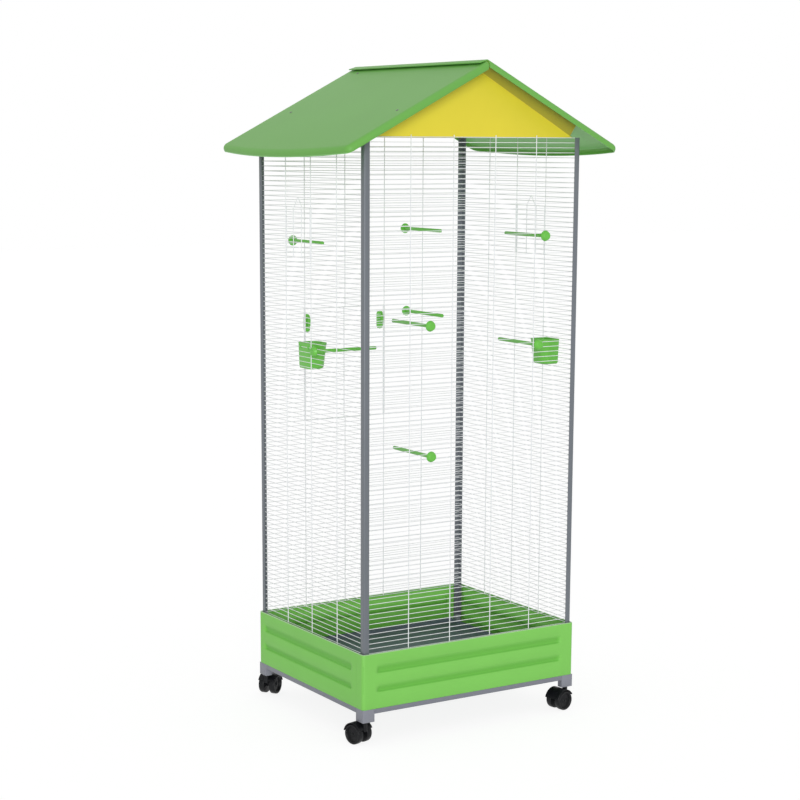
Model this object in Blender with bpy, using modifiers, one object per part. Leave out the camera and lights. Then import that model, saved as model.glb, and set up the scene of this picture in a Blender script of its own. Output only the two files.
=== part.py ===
"""Parrot cage on casters, with wire grids, pressed skirts, a gabled roof, perches and feeders.

Frame: metres, +Z up, the floor at z = 0. The front grid faces -Y and the service door is in the
rear grid. The origin is the bottom centre of the whole cage.

A piece of a grid is drawn flat, as the front one is seen from outside: x to the right, y up and
z outward. Turning it upright and round to its side puts it in place.
"""
import math

import bmesh
import bpy
from mathutils import Matrix, Vector

CLEARANCE = 0.0003
OVERLAP = 0.0003
UPRIGHT_TURN = math.pi / 2
SIDE_TURN = {"front": 0.0, "right": math.pi / 2, "rear": math.pi, "left": -math.pi / 2}

# Wire grids
CELL_X = 0.120
CELL_Y = 0.1235
CELLS_X = 5
CELLS_Y = 4
RUNG = 0.002
UPRIGHT = 0.003
RUNG_PITCH = 0.0121
ROWS = 101
GRID_BASE = 0.2245
UPRIGHT_END = 0.005

# Corner posts
POST_LEG = 0.015
POST_WALL = 0.0015
POST_OUTSET = 0.009
POST_TIP = 0.0004
POST_TOP = GRID_BASE + RUNG_PITCH * ROWS + POST_TIP
HALF_X = CELLS_X * CELL_X / 2 + POST_OUTSET
HALF_Y = CELLS_Y * CELL_Y / 2 + POST_OUTSET

# Base: skirts, rails and corner sockets
SKIRT_OUTSET = 0.006
SKIRT_SHEET = 0.0012
SKIRT_TOP = 0.226
SKIRT_RADIUS = 0.008
SKIRT_HEM = 0.0035
FRONT_WRAP = 0.030
REAR_WRAP = 0.0225
GROOVE_DEPTH = 0.0035
GROOVE_SLOPE = 0.005
GROOVE_RAMP = 0.010
GROOVES = ((0.128, 0.148), (0.175, 0.198))
GROOVE_END_FRONT = 0.037
GROOVE_END_SIDE = 0.023
RUNNER_WIDTH = 0.0300
RUNNER_HEIGHT = 0.0303
FOOT_WIDTH = 0.0080
RAIL = 0.012
RAIL_WALL = 0.0012
RAIL_TOP = 0.0888
SOCKET_BLOCK = 0.033
SOCKET_BOTTOM = 0.057
SOCKET_CHAMFER = 0.016
POST_SPIGOT_TOP = 0.140
RAIL_SPIGOT = 0.016
STEM_INSET = 0.013
SKIRT_X = HALF_X + SKIRT_OUTSET
SKIRT_Y = HALF_Y + SKIRT_OUTSET
SKIRT_BOTTOM = RAIL_TOP + CLEARANCE

# Litter pan, drawn out at the rear
PAN_SIDE_GAP = 0.025
PAN_HALF_X = SKIRT_X - PAN_SIDE_GAP
PAN_FRONT_GAP = 0.024
PAN_FRONT = SKIRT_Y - PAN_FRONT_GAP
PAN_DEPTH = 0.0085
PAN_SHEET = 0.0012
PAN_RADIUS = 0.012
PAN_LIP_TOP = 0.1505

# Casters
WHEEL_RADIUS = 0.025
WHEEL_WIDTH = 0.016
WHEEL_SPACING = 0.030
WHEEL_SIDES = 16
AXLE_RADIUS = 0.003
FENDER_GAP = 0.0012
FENDER_WALL = 0.0024
SPINE_WIDTH = 0.013
TRAIL = 0.021
BOSS_RADIUS = 0.0064
BOSS_TOP = 0.0562
STEM_RADIUS = 0.004
STEM_TOP = 0.0835
CASTER_TURN = {"front_left": 105.0, "rear_left": 35.0, "front_right": 190.0, "rear_right": 200.0}

# Roof and gables
ROOF_SLOPE = 0.512
ROOF_SHEET = 0.0025
ROOF_RISE = 0.178
RIDGE_TOP = POST_TOP + ROOF_RISE
ROOF_HALF_Y = 0.310
EAVE_MID_X = 0.404
EAVE_BOW = 0.022
ROOF_RIM = 0.0165
ROOF_ROUND = 0.012
ROOF_CORNER = 0.024
RIDGE_LAP = 0.020
RIDGE_GAP = 0.003
GABLE_SHEET = 0.0012
GABLE_HANG = 0.001
GABLE_DROP = 0.0177
GABLE_BOTTOM = POST_TOP - GABLE_HANG
GABLE_APEX = RIDGE_TOP - GABLE_DROP
GABLE_SLOPE = 0.556
GABLE_FLANGE = 0.0234
GABLE_FLANGE_TOP = 0.006
GABLE_FOLD = 0.010

# Lift doors in the side grids
LIFT_ROWS = (77, 87)
LIFT_CELL = {"left": -1, "right": -1}
LIFT_BAR = 0.0025
LIFT_GUIDE = 0.0015
LIFT_GUIDE_TALL = 0.004
LIFT_HANDLE = 0.027
LIFT_HANDLE_HALF = 0.020

# Service door in the rear grid, drawn as seen from behind
SERVICE_ROWS = (41, 65)
SERVICE_CELLS = (-0.5, 1.5)
SERVICE_PIN = 0.0012
SERVICE_PIN_OUT = 0.0001
HINGE_EYE = 0.0034
HINGE_EYE_WIDTH = 0.003
HINGE_EYE_INSET = 0.040
LATCH_ROW = 61
LATCH_INSET = 0.0095
LATCH_WIDTH = 0.018
LATCH_HEIGHT = 0.048
LATCH_RISE = 0.004
LATCH_THICK = 0.005
LATCH_PIN = 0.0025
LATCH_TONGUE = 0.020
LATCH_TONGUE_WIDTH = 0.008
LATCH_TONGUE_THICK = 0.002

# Perches: side, place along the grid as seen from outside, row of the gap, and rod length
PERCH_RADIUS = 0.00475
PERCH_FLUTE = 0.0007
PERCH_FLUTES = 6
PERCH_BOLT = 0.0025
PERCH_CAP_RADIUS = 0.013
PERCH_CAP_THICK = 0.009
PERCH_CAP_WALL = 0.003
PERCH_CAP_SIDES = 14
PERCHES = {
    "front_1": ("front", -0.123, 64, 0.165),
    "front_2": ("front", -0.118, 38, 0.165),
    "front_3": ("front", 0.211, 81, 0.165),
    "front_4": ("front", 0.1955, 59, 0.165),
    "rear_1": ("rear", 0.214, 79, 0.150),
    "rear_2": ("rear", -0.125, 81, 0.168),
    "rear_3": ("rear", -0.130, 63, 0.172),
    "left_1": ("left", 0.0165, 58, 0.172),
}

# Feeder cups, hooked over a rung of a side grid
FEEDER_WIDTH = 0.066
FEEDER_DEPTH = 0.050
FEEDER_HEIGHT = 0.062
FEEDER_WALL = 0.0020
FEEDER_TAPER = 0.84
FEEDER_RIM = 0.0095
FEEDER_ROW = 59
FEEDER_HOOK = 0.0020
FEEDER_HOOK_DROP = 0.0045
FEEDER_HOOK_WIDTH = 0.005
FEEDER_HOOK_APART = 0.038
FEEDERS = {"left": -0.0354, "right": -0.163}


def rung_height(row):
    """Height of the middle of a rung."""
    return GRID_BASE + RUNG_PITCH * row


def gap_height(row):
    """Height of the middle of the gap above a rung."""
    return rung_height(row + 0.5)


class Layers:
    """How far out the wires of a grid lie, inside the posts' walls."""

    def __init__(self, half):
        self.upright_out = half - POST_WALL - CLEARANCE
        self.upright_in = self.upright_out - UPRIGHT
        self.rung_out = self.upright_in - CLEARANCE
        self.rung_in = self.rung_out - RUNG


SIDE_LAYERS = Layers(HALF_X)
END_LAYERS = Layers(HALF_Y)
LAYERS = {"front": END_LAYERS, "rear": END_LAYERS, "left": SIDE_LAYERS, "right": SIDE_LAYERS}
GRID_HALF = {
    "front": SIDE_LAYERS.rung_in - CLEARANCE,
    "rear": SIDE_LAYERS.rung_in - CLEARANCE,
    "left": END_LAYERS.upright_out,
    "right": END_LAYERS.upright_out,
}
UPRIGHTS = {
    "front": [CELL_X * (i - CELLS_X / 2) for i in range(1, CELLS_X)],
    "rear": [CELL_X * (i - CELLS_X / 2) for i in range(1, CELLS_X)],
    "left": [CELL_Y * (i - CELLS_Y / 2) for i in range(1, CELLS_Y)],
    "right": [CELL_Y * (i - CELLS_Y / 2) for i in range(1, CELLS_Y)],
}


def start_scene():
    """Empties the scene and makes the cage's collection."""
    for old in list(bpy.data.objects):
        bpy.data.objects.remove(old, do_unlink=True)
    collection = bpy.data.collections.new("parrot_cage")
    bpy.context.scene.collection.children.link(collection)
    return collection


def make_material(name, color, roughness, metallic=0.0):
    material = bpy.data.materials.new(name)
    material.use_nodes = True
    shader = material.node_tree.nodes["Principled BSDF"]
    shader.inputs["Base Color"].default_value = (*color, 1.0)
    shader.inputs["Roughness"].default_value = roughness
    shader.inputs["Metallic"].default_value = metallic
    return material


COLLECTION = start_scene()
MATERIALS = {
    "green_sheet": make_material("green_sheet", (0.20, 0.55, 0.12), 0.42),
    "yellow_sheet": make_material("yellow_sheet", (0.78, 0.66, 0.06), 0.45),
    "grey_post": make_material("grey_post", (0.16, 0.17, 0.19), 0.40),
    "white_wire": make_material("white_wire", (0.80, 0.81, 0.80), 0.35),
    "grey_rail": make_material("grey_rail", (0.30, 0.31, 0.33), 0.45),
    "grey_socket": make_material("grey_socket", (0.28, 0.29, 0.31), 0.50),
    "dark_pan": make_material("dark_pan", (0.11, 0.13, 0.14), 0.50),
    "green_plastic": make_material("green_plastic", (0.14, 0.48, 0.10), 0.38),
    "black_plastic": make_material("black_plastic", (0.02, 0.02, 0.02), 0.45),
}


def add_piece(name, mesh, material, location=(0, 0, 0), rotation=(0, 0, 0), smooth=None):
    """One named sub-part. The smooth angle, in degrees, is for round pieces."""
    piece = bpy.data.objects.new(name, mesh)
    if not mesh.materials:
        mesh.materials.append(MATERIALS[material])
    if smooth is not None:
        mesh.shade_smooth()
        mesh.set_sharp_from_angle(angle=math.radians(smooth))
    piece.location = location
    piece.rotation_euler = rotation
    COLLECTION.objects.link(piece)
    return piece


def add_on_side(name, mesh, material, side, origin=(0, 0, 0), smooth=None):
    """A piece drawn flat, stood up and turned to its side of the cage."""
    turn = SIDE_TURN[side]
    place = Matrix.Rotation(turn, 3, "Z") @ Vector((origin[0], -origin[2], origin[1]))
    return add_piece(name, mesh, material, place, (UPRIGHT_TURN, 0, turn), smooth)


def mesh_of(data, modifiers=()):
    """The mesh that a curve or mesh gives once its modifiers are worked out."""
    helper = bpy.data.objects.new("helper", data)
    COLLECTION.objects.link(helper)
    for kind, settings in modifiers:
        modifier = helper.modifiers.new(kind.lower(), kind)
        for key, value in settings.items():
            setattr(modifier, key, value)
    bpy.context.view_layer.update()
    depsgraph = bpy.context.evaluated_depsgraph_get()
    mesh = bpy.data.meshes.new_from_object(helper.evaluated_get(depsgraph))
    bpy.data.objects.remove(helper, do_unlink=True)
    return mesh


def tidy_mesh(mesh, merge=1e-6):
    """Welds touching points and turns the faces outward."""
    shape = bmesh.new()
    shape.from_mesh(mesh)
    bmesh.ops.remove_doubles(shape, verts=shape.verts, dist=merge)
    bmesh.ops.recalc_face_normals(shape, faces=shape.faces)
    shape.to_mesh(mesh)
    shape.free()
    return mesh


def moved(mesh, matrix):
    mesh.transform(matrix)
    return tidy_mesh(mesh)


def plate(loops, low, high):
    """A flat outline with holes, from z = low to z = high."""
    curve = bpy.data.curves.new("outline", "CURVE")
    curve.dimensions = "2D"
    curve.fill_mode = "BOTH"
    curve.extrude = (high - low) / 2
    for loop in loops:
        spline = curve.splines.new("POLY")
        spline.points.add(len(loop) - 1)
        for point, (x, y) in zip(spline.points, loop):
            point.co = (x, y, 0, 1)
        spline.use_cyclic_u = True
    mesh = mesh_of(curve)
    return moved(mesh, Matrix.Translation((0, 0, (low + high) / 2)))


def rectangle(x0, x1, y0, y1):
    return [(x0, y0), (x1, y0), (x1, y1), (x0, y1)]


def rounded_rectangle(x0, x1, y0, y1, radius, steps=3):
    """A rectangle with quarter-circle corners, from the lower left one round to the left."""
    corners = ((x0 + radius, y0 + radius, 180), (x1 - radius, y0 + radius, 270),
               (x1 - radius, y1 - radius, 0), (x0 + radius, y1 - radius, 90))
    loop = []
    for x, y, start in corners:
        for i in range(steps + 1):
            angle = math.radians(start + 90 * i / steps)
            loop.append((x + radius * math.cos(angle), y + radius * math.sin(angle)))
    return loop


def arc(x, y, radius, start, end, steps):
    """Points of an arc, with the angles in degrees."""
    angles = [math.radians(start + (end - start) * i / steps) for i in range(steps + 1)]
    return [(x + radius * math.cos(a), y + radius * math.sin(a)) for a in angles]


def box(x0, x1, y0, y1, z0, z1):
    shape = bmesh.new()
    bmesh.ops.create_cube(shape, size=1.0)
    mesh = bpy.data.meshes.new("box")
    shape.to_mesh(mesh)
    shape.free()
    middle = Vector((x0 + x1, y0 + y1, z0 + z1)) / 2
    size = (abs(x1 - x0), abs(y1 - y0), abs(z1 - z0), 1)
    return moved(mesh, Matrix.Translation(middle) @ Matrix.Diagonal(size))


def islands(meshes):
    """Puts solids that don't touch each other into one mesh."""
    shape = bmesh.new()
    for mesh in meshes:
        shape.from_mesh(mesh)
    joined = bpy.data.meshes.new("islands")
    shape.to_mesh(joined)
    shape.free()
    return joined


def rod(start, end, radius, sides=12):
    """A round bar between two points."""
    start = Vector(start)
    end = Vector(end)
    shape = bmesh.new()
    bmesh.ops.create_cone(shape, cap_ends=True, segments=sides, radius1=radius, radius2=radius,
                          depth=(end - start).length)
    mesh = bpy.data.meshes.new("rod")
    shape.to_mesh(mesh)
    shape.free()
    turn = (end - start).to_track_quat("Z", "Y").to_matrix().to_4x4()
    return moved(mesh, Matrix.Translation((start + end) / 2) @ turn)


def turned(profile, steps, closed=False):
    """A profile of radius and height, run down its outer side, turned round Z."""
    mesh = bpy.data.meshes.new("profile")
    points = [(radius, 0, height) for radius, height in profile]
    edges = [(i, i + 1) for i in range(len(points) - 1)]
    if closed:
        edges.append((len(points) - 1, 0))
    mesh.from_pydata(points, edges, [])
    screw = {"axis": "Z", "angle": math.tau, "steps": steps, "render_steps": steps,
             "use_merge_vertices": True, "merge_threshold": 1e-5}
    return tidy_mesh(mesh_of(mesh, [("SCREW", screw)]))


def lofted(rings, cap_first=True, cap_last=True):
    """A skin through rings of equally many points, with flat ends where asked."""
    shape = bmesh.new()
    rows = [[shape.verts.new(point) for point in ring] for ring in rings]
    for lower, upper in zip(rows, rows[1:]):
        for i in range(len(lower)):
            j = (i + 1) % len(lower)
            shape.faces.new((lower[i], lower[j], upper[j], upper[i]))
    if cap_first:
        shape.faces.new(list(reversed(rows[0])))
    if cap_last:
        shape.faces.new(rows[-1])
    bmesh.ops.recalc_face_normals(shape, faces=shape.faces)
    mesh = bpy.data.meshes.new("loft")
    shape.to_mesh(mesh)
    shape.free()
    return mesh


def shelled(mesh, wall):
    """Gives an open skin its wall, on the inner side of its faces."""
    solidify = {"thickness": wall, "offset": -1.0, "use_even_offset": True}
    return mesh_of(mesh, [("SOLIDIFY", solidify)])


def combined(base, added=(), cut=()):
    """Joins and cuts whole solids."""
    for operation, others in (("UNION", added), ("DIFFERENCE", cut)):
        for other in others:
            tool = bpy.data.objects.new("tool", other)
            tool.hide_render = True
            tool.display_type = "WIRE"
            COLLECTION.objects.link(tool)
            base = mesh_of(base, [("BOOLEAN", {"operation": operation, "object": tool})])
            bpy.data.objects.remove(tool, do_unlink=True)
    return tidy_mesh(base)


def ladder(half, rows, opening=None, edge=UPRIGHT):
    """A flat grid of rungs between two edge bars, as open faces. An opening has a bar at each side."""
    low, high = rows
    shape = bmesh.new()
    points = {}

    def vert(x, y):
        key = (round(x, 6), round(y, 6))
        if key not in points:
            points[key] = shape.verts.new((x, y, 0))
        return points[key]

    def face(corners):
        shape.faces.new([vert(x, y) for x, y in corners])

    def heights(row):
        return rung_height(row) - RUNG / 2, rung_height(row) + RUNG / 2

    def bar(outer, inner, first, last, bottom, top):
        joints = [(inner, y) for row in range(first, last + 1) for y in heights(row)]
        ends = [(inner, bottom), (inner, top)]
        face([(outer, bottom)] + sorted(set(joints + ends), key=lambda p: p[1]) + [(outer, top)])

    inner = half - edge
    for sign in (-1, 1):
        bar(sign * half, sign * inner, low, high, heights(low)[0], heights(high)[1])
    jambs = []
    if opening:
        left, right, first, last = opening
        jambs = [left - edge / 2, left + edge / 2, right - edge / 2, right + edge / 2]
        sill = heights(first)[1]
        lintel = heights(last)[0]
        bar(jambs[1], jambs[0], first + 1, last - 1, sill, lintel)
        bar(jambs[2], jambs[3], first + 1, last - 1, sill, lintel)
    for row in range(low, high + 1):
        y0, y1 = heights(row)
        if jambs and first < row < last:
            face([(-inner, y0), (jambs[0], y0), (jambs[0], y1), (-inner, y1)])
            face([(jambs[3], y0), (inner, y0), (inner, y1), (jambs[3], y1)])
        else:
            under = [(x, y0) for x in jambs if row == last] if jambs else []
            over = [(x, y1) for x in reversed(jambs) if row == first] if jambs else []
            face([(-inner, y0), *under, (inner, y0), (inner, y1), *over, (-inner, y1)])
    mesh = bpy.data.meshes.new("ladder")
    bmesh.ops.recalc_face_normals(shape, faces=shape.faces)
    if shape.faces[:][0].normal.z < 0:
        bmesh.ops.reverse_faces(shape, faces=shape.faces)
    shape.to_mesh(mesh)
    shape.free()
    return mesh


def grid_plate(mesh, low, high):
    """Gives a flat ladder its thickness, from z = low to z = high."""
    mesh.transform(Matrix.Translation((0, 0, high)))
    return shelled(mesh, high - low)


def upright_boxes(side, opening=None):
    """The uprights of a grid; an opening cuts the ones that cross it."""
    layers = LAYERS[side]
    w = UPRIGHT / 2
    low = rung_height(0) - w
    high = rung_height(ROWS) + UPRIGHT_END
    boxes = []
    for x in UPRIGHTS[side]:
        spans = [(low, high)]
        if opening and opening[0] + w < x < opening[1] - w:
            spans = [(low, rung_height(opening[2])), (rung_height(opening[3]), high)]
        for start, end in spans:
            boxes.append(box(x - w, x + w, start, end, layers.upright_in, layers.upright_out))
    return islands(boxes)


def cross_bars(heights, start, end, low, high):
    """Bars along the grid at some heights, a little thinner than what they tie together."""
    w = UPRIGHT / 2 - OVERLAP
    return islands([box(start, end, y - w, y + w, low + OVERLAP, high - OVERLAP) for y in heights])


def lift_opening(side):
    """The cell and rows that a lift door closes."""
    first = LIFT_CELL[side]
    return (CELL_Y * first, CELL_Y * (first + 1), *LIFT_ROWS)


def service_opening():
    return (CELL_X * SERVICE_CELLS[0], CELL_X * SERVICE_CELLS[1], *SERVICE_ROWS)


def service_axis():
    """How far out the service door's hinge pin lies."""
    return END_LAYERS.upright_out + CLEARANCE + RUNG + SERVICE_PIN_OUT


def hinge_places():
    left, right = service_opening()[:2]
    return (left + HINGE_EYE_INSET, right - HINGE_EYE_INSET)


def hinge_eye(place):
    """A ring that holds the service door's hinge pin."""
    ring = turned([(SERVICE_PIN + CLEARANCE, HINGE_EYE_WIDTH / 2), (HINGE_EYE, HINGE_EYE_WIDTH / 2),
                   (HINGE_EYE, -HINGE_EYE_WIDTH / 2), (SERVICE_PIN + CLEARANCE, -HINGE_EYE_WIDTH / 2)],
                  12, closed=True)
    centre = Matrix.Translation((place, rung_height(SERVICE_ROWS[0]), service_axis()))
    return moved(ring, centre @ Matrix.Rotation(math.pi / 2, 4, "Y"))


def make_grid(side):
    layers = LAYERS[side]
    half = GRID_HALF[side]
    opening = None
    ties = [cross_bars((rung_height(0), rung_height(ROWS)), -half + OVERLAP, half - OVERLAP,
                       layers.rung_in, layers.upright_out)]
    if side in LIFT_CELL:
        opening = lift_opening(side)
    if side == "rear":
        opening = service_opening()
        left, right, first, last = opening
        ties.append(upright_boxes(side, opening))
        ties.append(cross_bars((rung_height(first), rung_height(last)), left, right,
                               layers.upright_in, layers.upright_out))
        ties.append(islands([hinge_eye(place) for place in hinge_places()]))
    else:
        ties.append(upright_boxes(side))
    rungs = grid_plate(ladder(half, (0, ROWS), opening), layers.rung_in, layers.rung_out)
    return add_on_side("wire_grid_" + side, combined(rungs, ties), "white_wire", side)


def make_lift_door(side):
    """A wire door that slides up between two uprights and is held to them by four guides."""
    layers = LAYERS[side]
    left, right, first, last = lift_opening(side)
    half = (right - left) / 2 - UPRIGHT / 2 - CLEARANCE
    low = layers.upright_in
    high = low + RUNG
    top = rung_height(last)
    bottom = rung_height(first)
    leaf = grid_plate(ladder(half, (first, last), edge=LIFT_BAR), low, high)
    reach = LIFT_HANDLE_HALF
    handle = plate([[(-reach, top), (reach, top), (RUNG, top + LIFT_HANDLE), (-RUNG, top + LIFT_HANDLE)],
                    [(-reach + 2.5 * RUNG, top + RUNG), (reach - 2.5 * RUNG, top + RUNG),
                     (0, top + LIFT_HANDLE - 1.5 * RUNG)]], low + OVERLAP, high - OVERLAP)
    w = LIFT_BAR / 2
    third = 2 * half / 3
    bars = islands([box(x - w, x + w, bottom - w, top + w, high + CLEARANCE, high + CLEARANCE + RUNG)
                    for x in (-third / 2, third / 2)])
    ties = islands([box(x - w / 2, x + w / 2, y - w / 2, y + w / 2, low + OVERLAP, high + RUNG)
                    for x in (-third / 2, third / 2) for y in (bottom, top)])
    outside = layers.upright_out + CLEARANCE
    far = half + 2 * CLEARANCE + UPRIGHT
    root = low + OVERLAP
    end = outside + LIFT_GUIDE
    plan = [(half - LIFT_BAR + OVERLAP, root), (half - OVERLAP, root), (half - OVERLAP, outside), (far, outside),
            (far, low), (far + LIFT_GUIDE, low), (far + LIFT_GUIDE, end), (half - LIFT_BAR + OVERLAP, end)]
    hooks = []
    for sign in (-1, 1):
        for height in (bottom, top):
            hook = plate([[(sign * x, y) for x, y in plan]], -LIFT_GUIDE_TALL / 2, LIFT_GUIDE_TALL / 2)
            hooks.append(moved(hook, Matrix(((1, 0, 0, 0), (0, 0, 1, height), (0, 1, 0, 0), (0, 0, 0, 1)))))
    door = combined(leaf, [handle, bars, ties, islands(hooks)])
    return add_on_side("lift_door_" + side, door, "white_wire", side, ((left + right) / 2, 0, 0))


def make_service_door():
    """A wire leaf outside the rear uprights, on a pin along its lower edge."""
    left, right, first, last = service_opening()
    middle = (left + right) / 2
    half = (right - left) / 2 + UPRIGHT / 2
    axis = service_axis()
    low = END_LAYERS.upright_out + CLEARANCE
    high = low + RUNG
    bottom = rung_height(first)
    top = rung_height(last)
    leaf = grid_plate(ladder(half, (first + 1, last)), low, high)
    pin = rod((-half, bottom, axis), (half, bottom, axis), SERVICE_PIN, 8)
    w = UPRIGHT / 2 - OVERLAP
    legs = islands([box(x - w, x + w, bottom, rung_height(first + 1), low + OVERLAP, high - OVERLAP)
                    for x in (-half + UPRIGHT / 2, half - UPRIGHT / 2)])
    centre = UPRIGHTS["rear"][2] - middle
    bar = box(centre - UPRIGHT / 2, centre + UPRIGHT / 2, bottom, top + w, high + CLEARANCE,
              high + CLEARANCE + RUNG)
    tie = box(centre - w / 2, centre + w / 2, top - w / 2, top + w / 2, low + OVERLAP, high + RUNG)
    leaf = combined(leaf, [legs, pin, bar, tie])
    leaf.transform(Matrix.Translation((0, -bottom, -axis)))
    return add_on_side("service_door", leaf, "white_wire", "rear", (middle, bottom, axis))


def make_latch(name, sign):
    """A turn clip of the service door. Its grip stands up while the tongue clears the grid."""
    left, right = service_opening()[:2]
    place = left + LATCH_INSET if sign < 0 else right - LATCH_INSET
    grip_low = END_LAYERS.upright_out + 2 * CLEARANCE + RUNG
    grip_high = grip_low + LATCH_THICK
    tongue_high = END_LAYERS.rung_in - CLEARANCE
    tongue_low = tongue_high - LATCH_TONGUE_THICK
    w = LATCH_WIDTH / 2
    straight = LATCH_HEIGHT / 2 - w
    oval = arc(0, LATCH_RISE + straight, w, 0, 180, 6) + arc(0, LATCH_RISE - straight, w, 180, 360, 6)
    grip = plate([oval], grip_low, grip_high)
    pin = rod((0, 0, tongue_low + LATCH_TONGUE_THICK / 2), (0, 0, grip_low + LATCH_THICK / 2), LATCH_PIN, 10)
    t = LATCH_TONGUE_WIDTH / 2
    tongue = box(-t, t, -t, LATCH_TONGUE, tongue_low, tongue_high)
    return add_on_side(name, combined(grip, [pin, tongue]), "green_plastic", "rear",
                       (place, gap_height(LATCH_ROW), 0))


def make_perch(key):
    """A fluted rod with its bolt, and the round cap that draws it against the grid."""
    side, place, row, length = PERCHES[key]
    layers = LAYERS[side]
    count = 2 * PERCH_FLUTES
    seat = layers.rung_in - CLEARANCE
    cap_low = layers.rung_out + CLEARANCE
    bolt_end = cap_low + PERCH_CAP_THICK - PERCH_CAP_WALL - CLEARANCE

    def ring(height, outer, inner):
        radii = [outer if i % 2 == 0 else inner for i in range(count)]
        angles = [math.tau * i / count for i in range(count)]
        return [(r * math.cos(a), r * math.sin(a), height) for r, a in zip(radii, angles)]

    fluted = (PERCH_RADIUS, PERCH_RADIUS - PERCH_FLUTE)
    bolt = (PERCH_BOLT, PERCH_BOLT)
    stick = lofted([ring(seat - length, *fluted), ring(seat, *fluted), ring(seat, *bolt),
                    ring(bolt_end, *bolt)])
    add_on_side("perch_rod_" + key, stick, "green_plastic", side, (place, gap_height(row), 0))
    bore = PERCH_BOLT + CLEARANCE
    top = PERCH_CAP_THICK
    profile = [(0, top), (PERCH_CAP_RADIUS - PERCH_CAP_WALL, top), (PERCH_CAP_RADIUS, 0),
               (bore, 0), (bore, top - PERCH_CAP_WALL), (0, top - PERCH_CAP_WALL)]
    cap = turned(profile, PERCH_CAP_SIDES)
    add_on_side("perch_cap_" + key, cap, "green_plastic", side, (place, gap_height(row), cap_low), 50)


def make_feeder(side):
    """An open cup with a round front, hung inside the grid by two hooks."""
    layers = LAYERS[side]
    back = layers.rung_in - CLEARANCE
    w = FEEDER_WIDTH / 2
    front = back - FEEDER_DEPTH
    hook_low = rung_height(FEEDER_ROW) + RUNG / 2 + CLEARANCE
    rim = hook_low + FEEDER_RIM

    def ring(height, scale):
        corner = 0.004
        nose = 0.024
        loop = [(w - corner, back), (w, back - corner)]
        loop += arc(w - nose, front + nose, nose, 0, -90, 4)
        loop += arc(-w + nose, front + nose, nose, -90, -180, 4)
        loop += [(-w, back - corner), (-w + corner, back)]
        return [(x * scale, height, back + (z - back) * scale) for x, z in loop]

    skin = lofted([ring(rim, 1.0), ring(rim - FEEDER_HEIGHT, FEEDER_TAPER)], cap_first=False)
    cup = shelled(skin, FEEDER_WALL)
    hooks = []
    outer = layers.rung_out + CLEARANCE
    inner = back - FEEDER_WALL / 2
    plan = [(inner, hook_low), (outer, hook_low), (outer, hook_low - FEEDER_HOOK_DROP),
            (outer + FEEDER_HOOK, hook_low - FEEDER_HOOK_DROP), (outer + FEEDER_HOOK, hook_low + FEEDER_HOOK),
            (inner, hook_low + FEEDER_HOOK)]
    for sign in (-1, 1):
        hook = plate([plan], -FEEDER_HOOK_WIDTH / 2, FEEDER_HOOK_WIDTH / 2)
        across = sign * FEEDER_HOOK_APART / 2
        hooks.append(moved(hook, Matrix(((0, 0, 1, across), (0, 1, 0, 0), (1, 0, 0, 0), (0, 0, 0, 1)))))
    add_on_side("feeder_cup_" + side, combined(cup, hooks), "green_plastic", side,
                (FEEDERS[side], 0, 0), 35)


def make_post(name, sx, sy):
    """An L section, open towards the inside of the cage."""
    outline = [(HALF_X, HALF_Y), (HALF_X, HALF_Y - POST_LEG), (HALF_X - POST_WALL, HALF_Y - POST_LEG),
               (HALF_X - POST_WALL, HALF_Y - POST_WALL), (HALF_X - POST_LEG, HALF_Y - POST_WALL),
               (HALF_X - POST_LEG, HALF_Y)]
    mesh = plate([[(sx * x, sy * y) for x, y in outline]], SKIRT_BOTTOM, POST_TOP)
    add_piece("corner_post_" + name, mesh, "grey_post")


def skirt_columns(start, end, outward, groove_ends, foot_span):
    """Columns of a straight stretch: place, outward direction, groove share and foot flag."""
    start = Vector(start)
    end = Vector(end)
    length = (end - start).length
    stops = {0.0: 0.0, length: 0.0}
    if groove_ends:
        first, last = groove_ends
        stops.update({first: 0.0, first + GROOVE_RAMP: 1.0, length - last - GROOVE_RAMP: 1.0,
                      length - last: 0.0})
    if foot_span:
        for place in (foot_span[0], length - foot_span[1]):
            stops.setdefault(place, 0.0)
    columns = []
    for place in sorted(stops):
        foot = bool(foot_span) and foot_span[0] - 1e-9 <= place <= length - foot_span[1] + 1e-9
        columns.append((start + (end - start) * place / length, Vector(outward), stops[place], foot))
    return columns


def skirt_corner(centre, start_angle, end_angle):
    """Columns round a bend, without its two ends."""
    columns = []
    for i in (1, 2):
        angle = math.radians(start_angle + (end_angle - start_angle) * i / 3)
        outward = Vector((math.cos(angle), math.sin(angle)))
        columns.append((Vector(centre) + SKIRT_RADIUS * outward, outward, 0.0, False))
    return columns


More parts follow.
